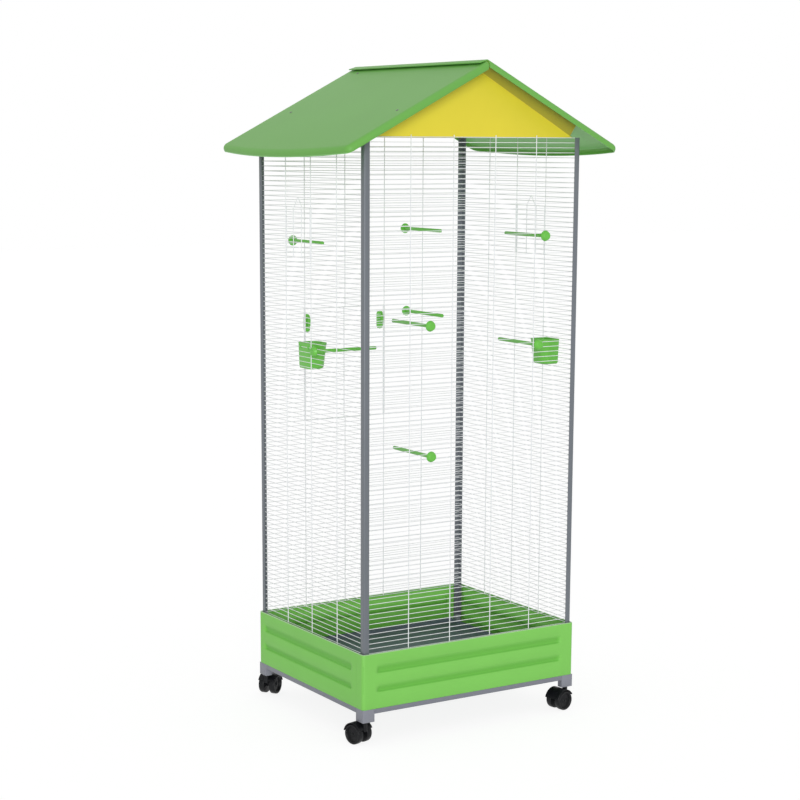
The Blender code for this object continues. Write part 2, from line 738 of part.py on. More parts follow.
def skirt_mesh(columns, bottom, foot_width=0.0, foot_rise=0.0):
    """The pressed sheet: a grid of columns and heights, with a folded foot and a hem at the top."""
    rows = [(bottom, 0.0, 0.0)]
    for low, high in GROOVES:
        if low > bottom:
            rows += [(low, 0.0, 0.0), (low + GROOVE_SLOPE, 1.0, 0.0), (high - GROOVE_SLOPE, 1.0, 0.0),
                     (high, 0.0, 0.0)]
    rows += [(SKIRT_TOP, 0.0, 0.0), (SKIRT_TOP, 0.0, SKIRT_HEM)]
    shape = bmesh.new()
    grid = []
    for height, press, inset in rows:
        line = []
        for place, outward, share, foot in columns:
            point = place - outward * (inset + press * share * GROOVE_DEPTH)
            line.append(shape.verts.new((point.x, point.y, height)))
        grid.append(line)
    faces = []
    for lower, upper in zip(grid, grid[1:]):
        for i in range(len(columns) - 1):
            faces.append(shape.faces.new((lower[i], lower[i + 1], upper[i + 1], upper[i])))
    folds = [(foot_width, 0.0)] if foot_width else []
    if foot_rise:
        folds.append((foot_width, foot_rise))
    previous = dict(enumerate(grid[0]))
    for inset, rise in folds:
        line = {}
        for i, (place, outward, share, foot) in enumerate(columns):
            if foot:
                point = place - outward * inset
                line[i] = shape.verts.new((point.x, point.y, bottom + rise))
        for i in sorted(line):
            if i + 1 in line:
                shape.faces.new((line[i], line[i + 1], previous[i + 1], previous[i]))
        previous = line
    bmesh.ops.recalc_face_normals(shape, faces=shape.faces)
    middle = faces[0]
    outward = columns[0][1]
    if middle.normal.x * outward.x + middle.normal.y * outward.y < 0:
        bmesh.ops.reverse_faces(shape, faces=shape.faces)
    mesh = bpy.data.meshes.new("skirt")
    shape.to_mesh(mesh)
    shape.free()
    return shelled(mesh, SKIRT_SHEET)


def make_skirts():
    r = SKIRT_RADIUS
    seam = SKIRT_Y - FRONT_WRAP
    foot_end = SKIRT_Y - HALF_Y + POST_LEG + 0.004
    long_groove = (GROOVE_END_FRONT - r, GROOVE_END_FRONT - r)
    straight = (foot_end, foot_end)
    front = skirt_columns((-SKIRT_X, -seam), (-SKIRT_X, -SKIRT_Y + r), (-1, 0), None, None)
    front += skirt_corner((-SKIRT_X + r, -SKIRT_Y + r), 180, 270)
    front += skirt_columns((-SKIRT_X + r, -SKIRT_Y), (SKIRT_X - r, -SKIRT_Y), (0, -1), long_groove, straight)
    front += skirt_corner((SKIRT_X - r, -SKIRT_Y + r), 270, 360)
    front += skirt_columns((SKIRT_X, -SKIRT_Y + r), (SKIRT_X, -seam), (1, 0), None, None)
    add_piece("skirt_front", skirt_mesh(front, SKIRT_BOTTOM, FOOT_WIDTH), "green_sheet", smooth=40)
    wrap = SKIRT_X - REAR_WRAP
    side_groove = (GROOVE_END_SIDE, GROOVE_END_SIDE - r)
    runner = (0.0, foot_end - r)
    for name, sign in (("skirt_left", -1), ("skirt_right", 1)):
        columns = skirt_columns((sign * SKIRT_X, -seam + CLEARANCE), (sign * SKIRT_X, SKIRT_Y - r),
                                (sign, 0), side_groove, runner)
        if sign > 0:
            columns += skirt_corner((SKIRT_X - r, SKIRT_Y - r), 0, 90)
        else:
            columns += skirt_corner((-SKIRT_X + r, SKIRT_Y - r), 180, 90)
        columns += skirt_columns((sign * (SKIRT_X - r), SKIRT_Y), (sign * wrap, SKIRT_Y), (0, 1), None, None)
        mesh = skirt_mesh(columns, SKIRT_BOTTOM, RUNNER_WIDTH, RUNNER_HEIGHT)
        add_piece(name, mesh, "green_sheet", smooth=40)
    edge = wrap - CLEARANCE
    rear = skirt_columns((edge, SKIRT_Y), (-edge, SKIRT_Y), (0, 1), (0.015, 0.015), None)
    add_piece("skirt_rear", skirt_mesh(rear, PAN_LIP_TOP + CLEARANCE), "green_sheet", smooth=40)


def make_rails():
    """Square tubes between the corner sockets."""
    outer = RAIL / 2
    inner = outer - RAIL_WALL
    middle = RAIL_TOP - outer
    for name, side, reach, depth in (("front", "front", SKIRT_X, SKIRT_Y), ("rear", "rear", SKIRT_X, SKIRT_Y),
                                     ("left", "left", SKIRT_Y, SKIRT_X), ("right", "right", SKIRT_Y, SKIRT_X)):
        half = reach - SOCKET_BLOCK - CLEARANCE
        tube = plate([rectangle(-outer, outer, -outer, outer), rectangle(-inner, inner, -inner, inner)],
                     -half, half)
        tube = moved(tube, Matrix.Rotation(math.pi / 2, 4, "Y"))
        add_on_side("base_rail_" + name, tube, "grey_rail", side, (0, middle, depth - outer))


def make_socket(name, sx, sy):
    """The block that joins two rails, a post and a caster stem."""
    x0 = SKIRT_X - SOCKET_BLOCK
    y0 = SKIRT_Y - SOCKET_BLOCK
    c = SOCKET_CHAMFER
    outline = [(SKIRT_X, SKIRT_Y), (x0, SKIRT_Y), (x0, y0 + c), (x0 + c, y0), (SKIRT_X, y0)]
    block = plate([[(sx * x, sy * y) for x, y in outline]], SOCKET_BOTTOM, RAIL_TOP)
    spigot_out = POST_WALL + CLEARANCE
    spigot_in = POST_LEG - CLEARANCE
    overlap = 0.001
    post = box(sx * (HALF_X - spigot_in), sx * (HALF_X - spigot_out), sy * (HALF_Y - spigot_in),
               sy * (HALF_Y - spigot_out), RAIL_TOP - overlap, POST_SPIGOT_TOP)
    half = RAIL / 2 - RAIL_WALL - CLEARANCE
    middle = RAIL_TOP - RAIL / 2
    along_x = box(sx * (x0 - RAIL_SPIGOT), sx * (x0 + overlap), sy * (SKIRT_Y - RAIL / 2 - half),
                  sy * (SKIRT_Y - RAIL / 2 + half), middle - half, middle + half)
    along_y = box(sx * (SKIRT_X - RAIL / 2 - half), sx * (SKIRT_X - RAIL / 2 + half),
                  sy * (y0 - RAIL_SPIGOT), sy * (y0 + overlap), middle - half, middle + half)
    stem = (sx * (SKIRT_X - STEM_INSET), sy * (SKIRT_Y - STEM_INSET))
    bore = rod((*stem, SOCKET_BOTTOM - 0.01), (*stem, STEM_TOP + CLEARANCE), STEM_RADIUS + CLEARANCE, 12)
    add_piece("corner_socket_" + name, combined(block, [post, along_x, along_y], [bore]), "grey_socket")


def make_pan():
    """A shallow pan on the side skirts' runners. Its rear lip closes the slot under the rear skirt."""
    bottom = SKIRT_BOTTOM + RUNNER_HEIGHT + CLEARANCE
    rear = SKIRT_Y - SKIRT_SHEET / 2
    taper = 0.002

    def ring(height, inset):
        loop = rounded_rectangle(-PAN_HALF_X + inset, PAN_HALF_X - inset, -PAN_FRONT + inset, rear, PAN_RADIUS)
        return [(x, y, height) for x, y in loop]

    skin = lofted([ring(bottom + PAN_DEPTH, 0.0), ring(bottom, taper)], cap_first=False)
    lip_half = SKIRT_X - REAR_WRAP - CLEARANCE
    lip = box(-lip_half, lip_half, SKIRT_Y - SKIRT_SHEET, SKIRT_Y, SKIRT_BOTTOM, PAN_LIP_TOP)
    add_piece("litter_pan", combined(shelled(skin, PAN_SHEET), [lip]), "dark_pan")


def caster_hood():
    """Fender, spine, swivel boss with its stem, and the axle, with the stem on local Z."""
    axle_x = TRAIL
    axle_z = WHEEL_RADIUS
    inner = WHEEL_RADIUS / math.cos(math.pi / WHEEL_SIDES) + FENDER_GAP
    outer = inner + FENDER_WALL
    width = WHEEL_SPACING + WHEEL_WIDTH
    stand = Matrix.Rotation(math.pi / 2, 4, "X")
    band = arc(axle_x, axle_z, outer, 12, 152, 7) + arc(axle_x, axle_z, inner, 152, 12, 7)
    fender = moved(plate([band], -width / 2, width / 2), stand)
    fin = arc(axle_x, axle_z, inner + FENDER_WALL / 2, 14, 150, 7)
    fin += arc(axle_x, axle_z, 2.4 * AXLE_RADIUS, 200, 340, 3)
    spine = moved(plate([fin], -SPINE_WIDTH / 2, SPINE_WIDTH / 2), stand)
    boss = turned([(0, STEM_TOP), (STEM_RADIUS, STEM_TOP), (STEM_RADIUS, BOSS_TOP), (BOSS_RADIUS, BOSS_TOP),
                   (BOSS_RADIUS, axle_z + 0.008), (0, axle_z + 0.008)], 10)
    axle_half = WHEEL_SPACING / 2 + WHEEL_WIDTH / 2 - 0.001
    axle = rod((axle_x, -axle_half, axle_z), (axle_x, axle_half, axle_z), AXLE_RADIUS, 8)
    return combined(fender, [spine, boss, axle])


def caster_wheel():
    """A dished wheel turned round local Z, with its dish at +Z."""
    half = WHEEL_WIDTH / 2
    bore = AXLE_RADIUS + CLEARANCE
    tread = WHEEL_RADIUS / math.cos(math.pi / WHEEL_SIDES)
    dish = half * 0.3
    profile = [(bore, half * 0.7), (tread * 0.70, dish), (tread * 0.82, half), (tread * 0.93, half),
               (tread, half * 0.6), (tread, -half * 0.8), (tread * 0.93, -half), (bore, -half)]
    return turned(profile, WHEEL_SIDES, closed=True)


def make_casters():
    hood = caster_hood()
    wheel = caster_wheel()
    for name, heading in CASTER_TURN.items():
        turn = math.radians(heading)
        sx = 1 if name.endswith("right") else -1
        sy = -1 if name.startswith("front") else 1
        stem = Vector((sx * (SKIRT_X - STEM_INSET), sy * (SKIRT_Y - STEM_INSET), 0))
        add_piece("caster_hood_" + name, hood, "black_plastic", stem, (0, 0, turn), 40)
        for letter, sign in (("a", 1), ("b", -1)):
            offset = Vector((TRAIL, sign * WHEEL_SPACING / 2, WHEEL_RADIUS))
            place = stem + Matrix.Rotation(turn, 3, "Z") @ offset
            flat = math.pi / WHEEL_SIDES
            roll = Matrix.Rotation(turn, 3, "Z") @ Matrix.Rotation(-sign * math.pi / 2, 3, "X")
            roll = roll @ Matrix.Rotation(math.pi / 2 + flat, 3, "Z")
            add_piece(f"caster_wheel_{name}_{letter}", wheel, "black_plastic", place, roll.to_euler(), 40)


def roof_outline():
    """Edge of a roof panel in its own plane: place along the slope, along the ridge, and outward."""
    angle = math.atan(ROOF_SLOPE)
    bow = EAVE_BOW / math.cos(angle)
    eave = (EAVE_MID_X + ROOF_ROUND * math.sin(angle)) / math.cos(angle)
    big = (ROOF_HALF_Y ** 2 + bow ** 2) / (2 * bow)
    centre = eave - big
    small = ROOF_CORNER
    side = ROOF_HALF_Y - small
    corner = centre + math.sqrt((big - small) ** 2 - side ** 2)
    swing = math.degrees(math.asin(side / (big - small)))
    points = [(None, -ROOF_HALF_Y, 0.0, -1.0)]
    for i in range(5):
        a = math.radians(-90 + (90 - swing) * i / 4)
        points.append((corner + small * math.cos(a), -side + small * math.sin(a), math.cos(a), math.sin(a)))
    for i in range(1, 6):
        a = math.radians(-swing + 2 * swing * i / 6)
        points.append((centre + big * math.cos(a), big * math.sin(a), math.cos(a), math.sin(a)))
    mirrored = [(u, -v, nu, -nv) for u, v, nu, nv in reversed(points[:6])]
    return points + mirrored


def make_roof_panel(name, sign, ridge, start, lap):
    """A sloping sheet with a rounded rim on three sides, and a lap over the other panel if asked."""
    angle = math.atan(ROOF_SLOPE)
    cos = math.cos(angle)
    sin = math.sin(angle)
    outline = roof_outline()
    steps = [(ROOF_ROUND * (1 - math.sin(a)), ROOF_ROUND * (1 - math.cos(a)))
             for a in (0, math.pi / 6, math.pi / 3, math.pi / 2)]
    steps.append((0.0, ROOF_RIM))
    shape = bmesh.new()
    rows = []
    for inset, drop in steps:
        row = []
        for u, v, nu, nv in outline:
            along = (start + drop * sin) / cos if u is None else u - inset * nu
            across = v - inset * nv
            row.append(shape.verts.new((sign * (along * cos - drop * sin), across,
                                        ridge - along * sin - drop * cos)))
        rows.append(row)
    top = shape.faces.new(rows[0])
    for upper, lower in zip(rows, rows[1:]):
        for i in range(len(outline) - 1):
            shape.faces.new((upper[i], upper[i + 1], lower[i + 1], lower[i]))
    if lap:
        a = rows[0][0].co
        b = rows[0][-1].co
        fall = Vector((-sign * cos, 0, -sin)) * lap
        shape.faces.new((rows[0][0], rows[0][-1], shape.verts.new(b + fall), shape.verts.new(a + fall)))
    bmesh.ops.recalc_face_normals(shape, faces=shape.faces)
    if top.normal.z < 0:
        bmesh.ops.reverse_faces(shape, faces=shape.faces)
    mesh = bpy.data.meshes.new("roof")
    shape.to_mesh(mesh)
    shape.free()
    add_piece(name, shelled(mesh, ROOF_SHEET), "green_sheet", smooth=35)


def left_ridge():
    """The left panel's ridge lies one sheet lower, under the right panel's lap."""
    return RIDGE_TOP - (ROOF_SHEET + CLEARANCE) * math.sqrt(1 + ROOF_SLOPE ** 2)


def make_gable(name, facing):
    """A gable sheet just inside the rungs, with a folded foot and two flanges under the roof."""
    depth = END_LAYERS.rung_in - CLEARANCE
    top_of_grid = rung_height(ROWS) + UPRIGHT / 2 + 0.002
    foot = (GABLE_APEX - GABLE_BOTTOM) / GABLE_SLOPE
    flange_foot = (GABLE_APEX - top_of_grid) / GABLE_SLOPE
    thick = math.sqrt(1 + ROOF_SLOPE ** 2)
    shape = bmesh.new()

    def point(x, height, out=0.0):
        return shape.verts.new((x, facing * (depth + out), height))

    def fold(x):
        return GABLE_APEX - GABLE_SLOPE * abs(x)

    def under_roof(x):
        ridge = RIDGE_TOP if x > 0 else left_ridge()
        return ridge - ROOF_SLOPE * abs(x) - (ROOF_SHEET + CLEARANCE) * thick - 1.5 * GABLE_SHEET

    base = [point(-foot, GABLE_BOTTOM), point(foot, GABLE_BOTTOM)]
    right = [point(flange_foot, fold(flange_foot)), point(GABLE_FLANGE_TOP, fold(GABLE_FLANGE_TOP))]
    apex = point(0, GABLE_APEX)
    left = [point(-GABLE_FLANGE_TOP, fold(GABLE_FLANGE_TOP)), point(-flange_foot, fold(flange_foot))]
    sheet = shape.faces.new([*base, *right, apex, *left])
    for inner in (right, left):
        outer = [point(v.co.x, under_roof(v.co.x), GABLE_FLANGE) for v in inner]
        shape.faces.new((inner[0], inner[1], outer[1], outer[0]))
    back = [point(-foot, GABLE_BOTTOM, -GABLE_FOLD), point(foot, GABLE_BOTTOM, -GABLE_FOLD)]
    shape.faces.new((base[0], base[1], back[1], back[0]))
    bmesh.ops.recalc_face_normals(shape, faces=shape.faces)
    if sheet.normal.y * facing < 0:
        bmesh.ops.reverse_faces(shape, faces=shape.faces)
    mesh = bpy.data.meshes.new("gable")
    shape.to_mesh(mesh)
    shape.free()
    add_piece(name, shelled(mesh, GABLE_SHEET), "yellow_sheet")


def main():
    corners = {"front_left": (-1, -1), "front_right": (1, -1), "rear_left": (-1, 1), "rear_right": (1, 1)}
    for name, (sx, sy) in corners.items():
        make_post(name, sx, sy)
        make_socket(name, sx, sy)
    for side in SIDE_TURN:
        make_grid(side)
    for side in LIFT_CELL:
        make_lift_door(side)
    make_service_door()
    make_latch("door_latch_right", -1)
    make_latch("door_latch_left", 1)
    make_skirts()
    make_rails()
    make_pan()
    make_casters()
    make_roof_panel("roof_panel_right", 1, RIDGE_TOP, 0.0, RIDGE_LAP)
    make_roof_panel("roof_panel_left", -1, left_ridge(), RIDGE_GAP, 0.0)
    make_gable("gable_front", -1)
    make_gable("gable_rear", 1)
    for key in PERCHES:
        make_perch(key)
    for side in FEEDERS:
        make_feeder(side)


main()
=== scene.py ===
"""Looks of a parrot cage: round wires, pressed skirts, a rimmed roof, casters, perches and feeders.

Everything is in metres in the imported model's frame: +Z up, the front grid facing -Y. What stands on
one side of the cage is drawn flat, as seen from outside that side: x to the right, y up, z outward.
A shape is a pair: an array of points and a list of faces.
"""
import math

import bmesh
import bpy
import numpy as np
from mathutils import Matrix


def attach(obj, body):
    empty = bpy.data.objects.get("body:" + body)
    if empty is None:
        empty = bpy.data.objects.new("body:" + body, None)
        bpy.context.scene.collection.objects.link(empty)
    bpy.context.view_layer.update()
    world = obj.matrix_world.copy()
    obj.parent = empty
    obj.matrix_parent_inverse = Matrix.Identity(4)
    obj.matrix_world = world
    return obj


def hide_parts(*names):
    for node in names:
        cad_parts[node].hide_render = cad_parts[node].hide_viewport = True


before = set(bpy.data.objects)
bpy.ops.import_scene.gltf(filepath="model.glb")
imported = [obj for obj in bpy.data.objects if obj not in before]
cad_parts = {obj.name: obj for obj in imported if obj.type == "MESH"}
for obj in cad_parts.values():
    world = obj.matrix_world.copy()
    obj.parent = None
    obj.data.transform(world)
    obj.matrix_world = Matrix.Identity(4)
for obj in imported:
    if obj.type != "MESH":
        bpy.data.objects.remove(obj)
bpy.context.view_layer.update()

# The gap between neighbours, how far a hidden end runs into one, and the widths of rounded edges
CLEARANCE = 0.0003
SINK = 0.001
SHEET_EDGE = 0.0003
RAIL_EDGE = 0.0008
SOCKET_EDGE = 0.0024
GABLE_EDGE = 0.0004
SIDE_TURN = {"front": 0.0, "right": math.pi / 2, "rear": math.pi, "left": -math.pi / 2}

# Camera and image
IMAGE_SIDE = 800
CAMERA_PLACE = (-2.6123, -4.0613, 1.4356)
CAMERA_AZIMUTH = math.radians(-32.3905)
CAMERA_ELEVATION = math.radians(10.4536)
CAMERA_ROLL = math.radians(0.2798)
CAMERA_REACH = 50.0
FOCAL_PIXELS = 1917.77
SENSOR = 36.0
AXIS_PIXEL = (403.60, 495.42)

# Light and floor
WORLD_LEVEL = 0.53
KEY_LEVEL = 1.50
KEY_AZIMUTH = math.radians(-30)
KEY_ELEVATION = math.radians(9)
KEY_SPREAD = math.radians(25)
FLOOR_GLOW = 0.86
FLOOR_SHADE = 0.24
FLOOR_BOUNCE = 0.80
FLOOR_REACH = 20.0

# Wires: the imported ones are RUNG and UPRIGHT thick, and the round ones have the two radii. CROSSING
# lies between the middles of two round wires that are welded where they cross.
CELL_X = 0.120
CELL_Y = 0.1235
CELLS_X = 5
CELLS_Y = 4
RUNG = 0.002
UPRIGHT = 0.003
RUNG_PITCH = 0.0121
ROWS = 101
GRID_BASE = 0.2245
UPRIGHT_END = 0.005
RUNG_ROUND = 0.0008
UPRIGHT_ROUND = 0.0011
RUNG_PLACE = 0.0014
WELD_DEPTH = 0.0001
WIRE_SIDES = 10
CROSSING = RUNG_ROUND + UPRIGHT_ROUND - WELD_DEPTH

# Posts
POST_LEG = 0.015
POST_WALL = 0.0015
POST_OUTSET = 0.009
POST_TOP = 1.447
POST_CORNER = 0.0032
POST_OUTER_STEPS = 8
POST_INNER_STEPS = 6
HALF_X = CELLS_X * CELL_X / 2 + POST_OUTSET
HALF_Y = CELLS_Y * CELL_Y / 2 + POST_OUTSET

# Skirts, with two pressed grooves each. BENT_SHARE is the outward part, along a stretch, from which
# it counts as bent.
SKIRT_OUTSET = 0.006
SKIRT_SHEET = 0.0012
SKIRT_TOP = 0.226
SKIRT_BOTTOM = 0.0891
SKIRT_RADIUS = 0.008
SKIRT_HEM = 0.0035
SKIRT_STEP = 0.004
HEM_ROUND = 0.0012
FRONT_WRAP = 0.030
REAR_WRAP = 0.0225
GROOVE_DEPTH = 0.0050
GROOVE_SLOPE = 0.0042
GROOVE_BROW = 0.0140
GROOVE_RAMP = 0.010
GROOVES = ((0.128, 0.148), (0.175, 0.198))
GROOVE_END_FRONT = 0.037
GROOVE_END_SIDE = 0.023
GROOVE_END_REAR = 0.015
RUNNER_WIDTH = 0.030
RUNNER_HEIGHT = 0.0303
FOOT_WIDTH = 0.008
FOOT_END = 0.025
BENT_SHARE = 0.01
WRAP_POINTS = 10
SLOPE_POINTS = 6
BROW_POINTS = 11
BROW_POWER = 1.5
HEM_POINTS = 5
SKIRT_X = HALF_X + SKIRT_OUTSET
SKIRT_Y = HALF_Y + SKIRT_OUTSET

# Pan
PAN_HALF_X = 0.290
PAN_FRONT = 0.238
PAN_DEPTH = 0.0085
PAN_SHEET = 0.0012
PAN_RADIUS = 0.012
PAN_BEND = 0.003
PAN_BEND_ANGLES = (22.5, 45, 67.5, 90)
PAN_CORNER_STEPS = 7
PAN_TAPER = 0.002
PAN_TAPER_LOW = 0.0012
PAN_LIP_TOP = 0.1310

# Casters: a sweep is two angles in degrees, and the steps between them where it is one arc
WHEEL_RADIUS = 0.025
WHEEL_WIDTH = 0.016
WHEEL_SPACING = 0.030
AXLE_RADIUS = 0.003
FENDER_GAP = 0.0017
FENDER_WALL = 0.0024
FENDER_EDGE = 0.0008
FENDER_SWEEP = (12, 152)
FENDER_POINTS = 29
SPINE_WIDTH = 0.013
SPINE_SWEEP = (14, 150, 24)
SPINE_FOOT = 2.4 * AXLE_RADIUS
SPINE_FOOT_SWEEP = (200, 340, 10)
TRAIL = 0.021
BOSS_RADIUS = 0.0064
BOSS_BOTTOM = 0.033
BOSS_TOP = 0.0562
BOSS_EDGE = 0.0006
BOSS_SIDES = 28
AXLE_SIDES = 24
STEM_RADIUS = 0.004
STEM_TOP = 0.0835
STEM_INSET = 0.013
CASTER_TURN = {"front_left": 105.0, "rear_left": 35.0, "front_right": 190.0, "rear_right": 200.0}

# Section of a wheel: at its hub, distances from the bore and shares of half its width, then shares
# of its radius and of half its width
WHEEL_SIDES = 56
WHEEL_HUB = ((0.0, 0.70), (0.0022, 0.70), (0.0030, 0.58))
WHEEL_DISH = ((0.45, 0.44), (0.66, 0.34), (0.72, 0.36), (0.80, 0.92), (0.84, 1.0), (0.90, 0.99),
              (0.95, 0.92), (0.985, 0.78), (1.0, 0.55), (1.0, -0.62), (0.985, -0.82), (0.95, -0.95),
              (0.90, -1.0))

# Roof: ROOF_CORNER stays over ROOF_ROUND + ROOF_FLAT, or the bend would fold over at the corners
ROOF_SLOPE = 0.512
ROOF_SHEET = 0.0025
RIDGE_TOP = 1.625
ROOF_HALF_Y = 0.310
EAVE_MID_X = 0.404
EAVE_BOW = 0.022
ROOF_RIM = 0.0165
ROOF_ROUND = 0.012
ROOF_FLAT = 0.004
ROOF_CORNER = 0.0175
ROOF_EDGE = 0.0006
ROOF_BEND_POINTS = 9
ROOF_CORNER_POINTS = 11
EAVE_POINTS = 33
RIDGE_GAP = 0.003
RIDGE_LAP = 0.024
LAP_LIFT = 0.0042

# Screws: places down the slope and along the ridge, then shares of a head's radius and its heights
ROOF_SCREWS = ((0.226, -0.264), (0.226, 0.2375), (0.030, 0.2375))
FLANGE_SCREWS = (0.092, 0.217)
FLANGE_SCREW_Y = 0.2600
FLANGE_UNDER = 0.0046
SCREW_RADIUS = 0.0038
SCREW_SIDES = 20
SCREW_ACROSS = (0, 1, 0.001)
SCREW_HEAD = ((0.0, 0.0016), (0.5, 0.0015), (0.85, 0.0010), (1.0, 0.0003), (1.0, -0.0012),
              (0.0, -0.0012))

# Painted shade on the gable flanges under the eaves: how far out the flanges end, where the painted shade
# fades in behind that, and their heights
FLANGE_END = 0.2722
FLANGE_FADE = (0.0232, 0.0222)
FLANGE_HEIGHTS = (1.44, 1.70)

# Lift doors
LIFT_ROWS = (77, 87)
LIFT_CELL = {"left": -1, "right": -1}
LIFT_BAR = 0.0025
LIFT_GUIDE = 0.0015
LIFT_GUIDE_BEND = 0.0012
LIFT_HANDLE = 0.027
LIFT_HANDLE_HALF = 0.020
LIFT_HANDLE_BEND = 0.004

# Service door
SERVICE_ROWS = (41, 65)
SERVICE_CELLS = (-0.5, 1.5)
SERVICE_PIN = 0.0012
SERVICE_PIN_OUT = 0.0001
HINGE_EYE = 0.0034
HINGE_EYE_INSET = 0.040
HINGE_EYE_STEPS = 24
HINGE_EYE_SIDES = 8

# Turn clips: the grip's section is shares of its half width, and heights above its lower face
LATCH_ROW = 61
LATCH_INSET = 0.0095
LATCH_WIDTH = 0.018
LATCH_HEIGHT = 0.048
LATCH_RISE = 0.004
LATCH_SECTION = ((0.94, 0.0), (1.0, 0.0006), (1.0, 0.0032), (0.95, 0.0044), (0.84, 0.0050),
                 (0.62, 0.0050), (0.56, 0.0042), (0.30, 0.0042))
LATCH_GRIP_STEPS = 16
LATCH_PIN = 0.0025
LATCH_PIN_SIDES = 20
LATCH_TONGUE = 0.020
LATCH_TONGUE_BACK = 0.002
LATCH_TONGUE_WIDTH = 0.008
LATCH_TONGUE_THICK = 0.002
LATCH_TONGUE_STEPS = 10

# Perches: side, place along the grid, row of the gap, rod length
PERCHES = {
    "front_1": ("front", -0.123, 64, 0.165),
    "front_2": ("front", -0.118, 38, 0.165),
    "front_3": ("front", 0.211, 81, 0.165),
    "front_4": ("front", 0.1955, 59, 0.165),
    "rear_1": ("rear", 0.214, 79, 0.150),
    "rear_2": ("rear", -0.125, 81, 0.168),
    "rear_3": ("rear", -0.130, 63, 0.172),
    "left_1": ("left", 0.0165, 58, 0.172),
}
PERCH_RADIUS = 0.00475
PERCH_FLUTE = 0.0007
PERCH_FLUTES = 6
PERCH_SIDES = 48
PERCH_TIP = ((0.0, 0.55), (0.0006, 0.84), (0.0020, 1.0))
PERCH_BOLT = 0.0025

# Perch caps: the side of one is distances in from its rim, and heights
CAP_RADIUS = 0.013
CAP_THICK = 0.009
CAP_WALL = 0.003
CAP_DISH = 0.0010
CAP_DISH_SHARES = (0.55, 0.62)
CAP_BEVEL = (0.0012, 0.0008)
CAP_SIDES = 44
CAP_SIDE = ((0.0010, 0.0028), (0.0, 0.0016), (0.0, 0.0006), (0.0006, 0.0))

# Feeder cups: the lip is depths below the rim, and scales of the plan
FEEDERS = {"left": -0.0354, "right": -0.163}
FEEDER_WIDTH = 0.066
FEEDER_DEPTH = 0.050
FEEDER_HEIGHT = 0.062
FEEDER_WALL = 0.0020
FEEDER_TAPER = 0.84
FEEDER_RIM = 0.0095
FEEDER_LIP = ((0.0007, 1.0), (0.003, 1.0), (0.0034, 0.984))
FEEDER_NOSE = 0.024
FEEDER_NOSE_STEPS = 14
FEEDER_CORNER = 0.004
FEEDER_CORNER_STEPS = 5
FEEDER_BEND = 0.005
FEEDER_BEND_ANGLES = (0, 30, 60, 90)
FEEDER_FLOOR = 0.09
FEEDER_EDGE = 0.0005
FEEDER_ROW = 59
FEEDER_HOOK = 0.0020
FEEDER_HOOK_DROP = 0.0045
FEEDER_HOOK_WIDTH = 0.005
FEEDER_HOOK_APART = 0.038

# Angles up to which a piece is shaded smooth, in degrees
SMOOTH_SHEET = 38
SMOOTH_MOULDED = 40
SMOOTH_TURNED = 42
SMOOTH_GRIP = 45


def linear(red, green, blue):
    """A colour read in 0 to 255 steps, as the light values that shaders use."""
    steps = np.array([red, green, blue]) / 255.0
    return tuple(np.where(steps <= 0.04045, steps / 12.92, ((steps + 0.055) / 1.055) ** 2.4))


# Materials

def make_group(name, inputs, outputs):
    """An empty shader node group with named sockets, and its two end nodes."""
    tree = bpy.data.node_groups.new(name, "ShaderNodeTree")
    for label, kind in inputs:
        tree.interface.new_socket(name=label, in_out="INPUT", socket_type=kind)
    for label, kind in outputs:
        tree.interface.new_socket(name=label, in_out="OUTPUT", socket_type=kind)
    return tree, tree.nodes.new("NodeGroupInput"), tree.nodes.new("NodeGroupOutput")


def add_node(tree, kind, settings=None, values=None):
    """A node with its settings, and the values of its named or numbered sockets."""
    node = tree.nodes.new(kind)
    for key, value in (settings or {}).items():
        setattr(node, key, value)
    for key, value in (values or {}).items():
        node.inputs[key].default_value = value
    return node


def math_node(tree, operation, first, second):
    """Arithmetic on two sockets or numbers."""
    node = add_node(tree, "ShaderNodeMath", {"operation": operation})
    for socket, value in zip(node.inputs, (first, second)):
        if isinstance(value, (int, float)):
            socket.default_value = value
        else:
            tree.links.new(value, socket)
    return node.outputs[0]


FLOAT = "NodeSocketFloat"
COLOR = "NodeSocketColor"
SPECKS_PER_PEEL = 3.0


def make_tone_drift():
    """Slow change of tone over a surface: colour times 1 - amount + 2 amount noise."""
    tree, entry, end = make_group("tone_drift", [("Color", COLOR), ("Scale", FLOAT), ("Amount", FLOAT)],
                                  [("Color", COLOR)])
    place = add_node(tree, "ShaderNodeTexCoord")
    noise = add_node(tree, "ShaderNodeTexNoise", values={"Detail": 4.0, "Roughness": 0.55})
    tree.links.new(place.outputs["Object"], noise.inputs["Vector"])
    tree.links.new(entry.outputs["Scale"], noise.inputs["Scale"])
    swing = math_node(tree, "MULTIPLY", math_node(tree, "SUBTRACT", noise.outputs["Fac"], 0.5),
                      entry.outputs["Amount"])
    factor = math_node(tree, "ADD", math_node(tree, "MULTIPLY", swing, 2.0), 1.0)
    scaled = add_node(tree, "ShaderNodeVectorMath", {"operation": "SCALE"})
    tree.links.new(entry.outputs["Color"], scaled.inputs[0])
    tree.links.new(factor, scaled.inputs["Scale"])
    tree.links.new(scaled.outputs[0], end.inputs["Color"])
    return tree


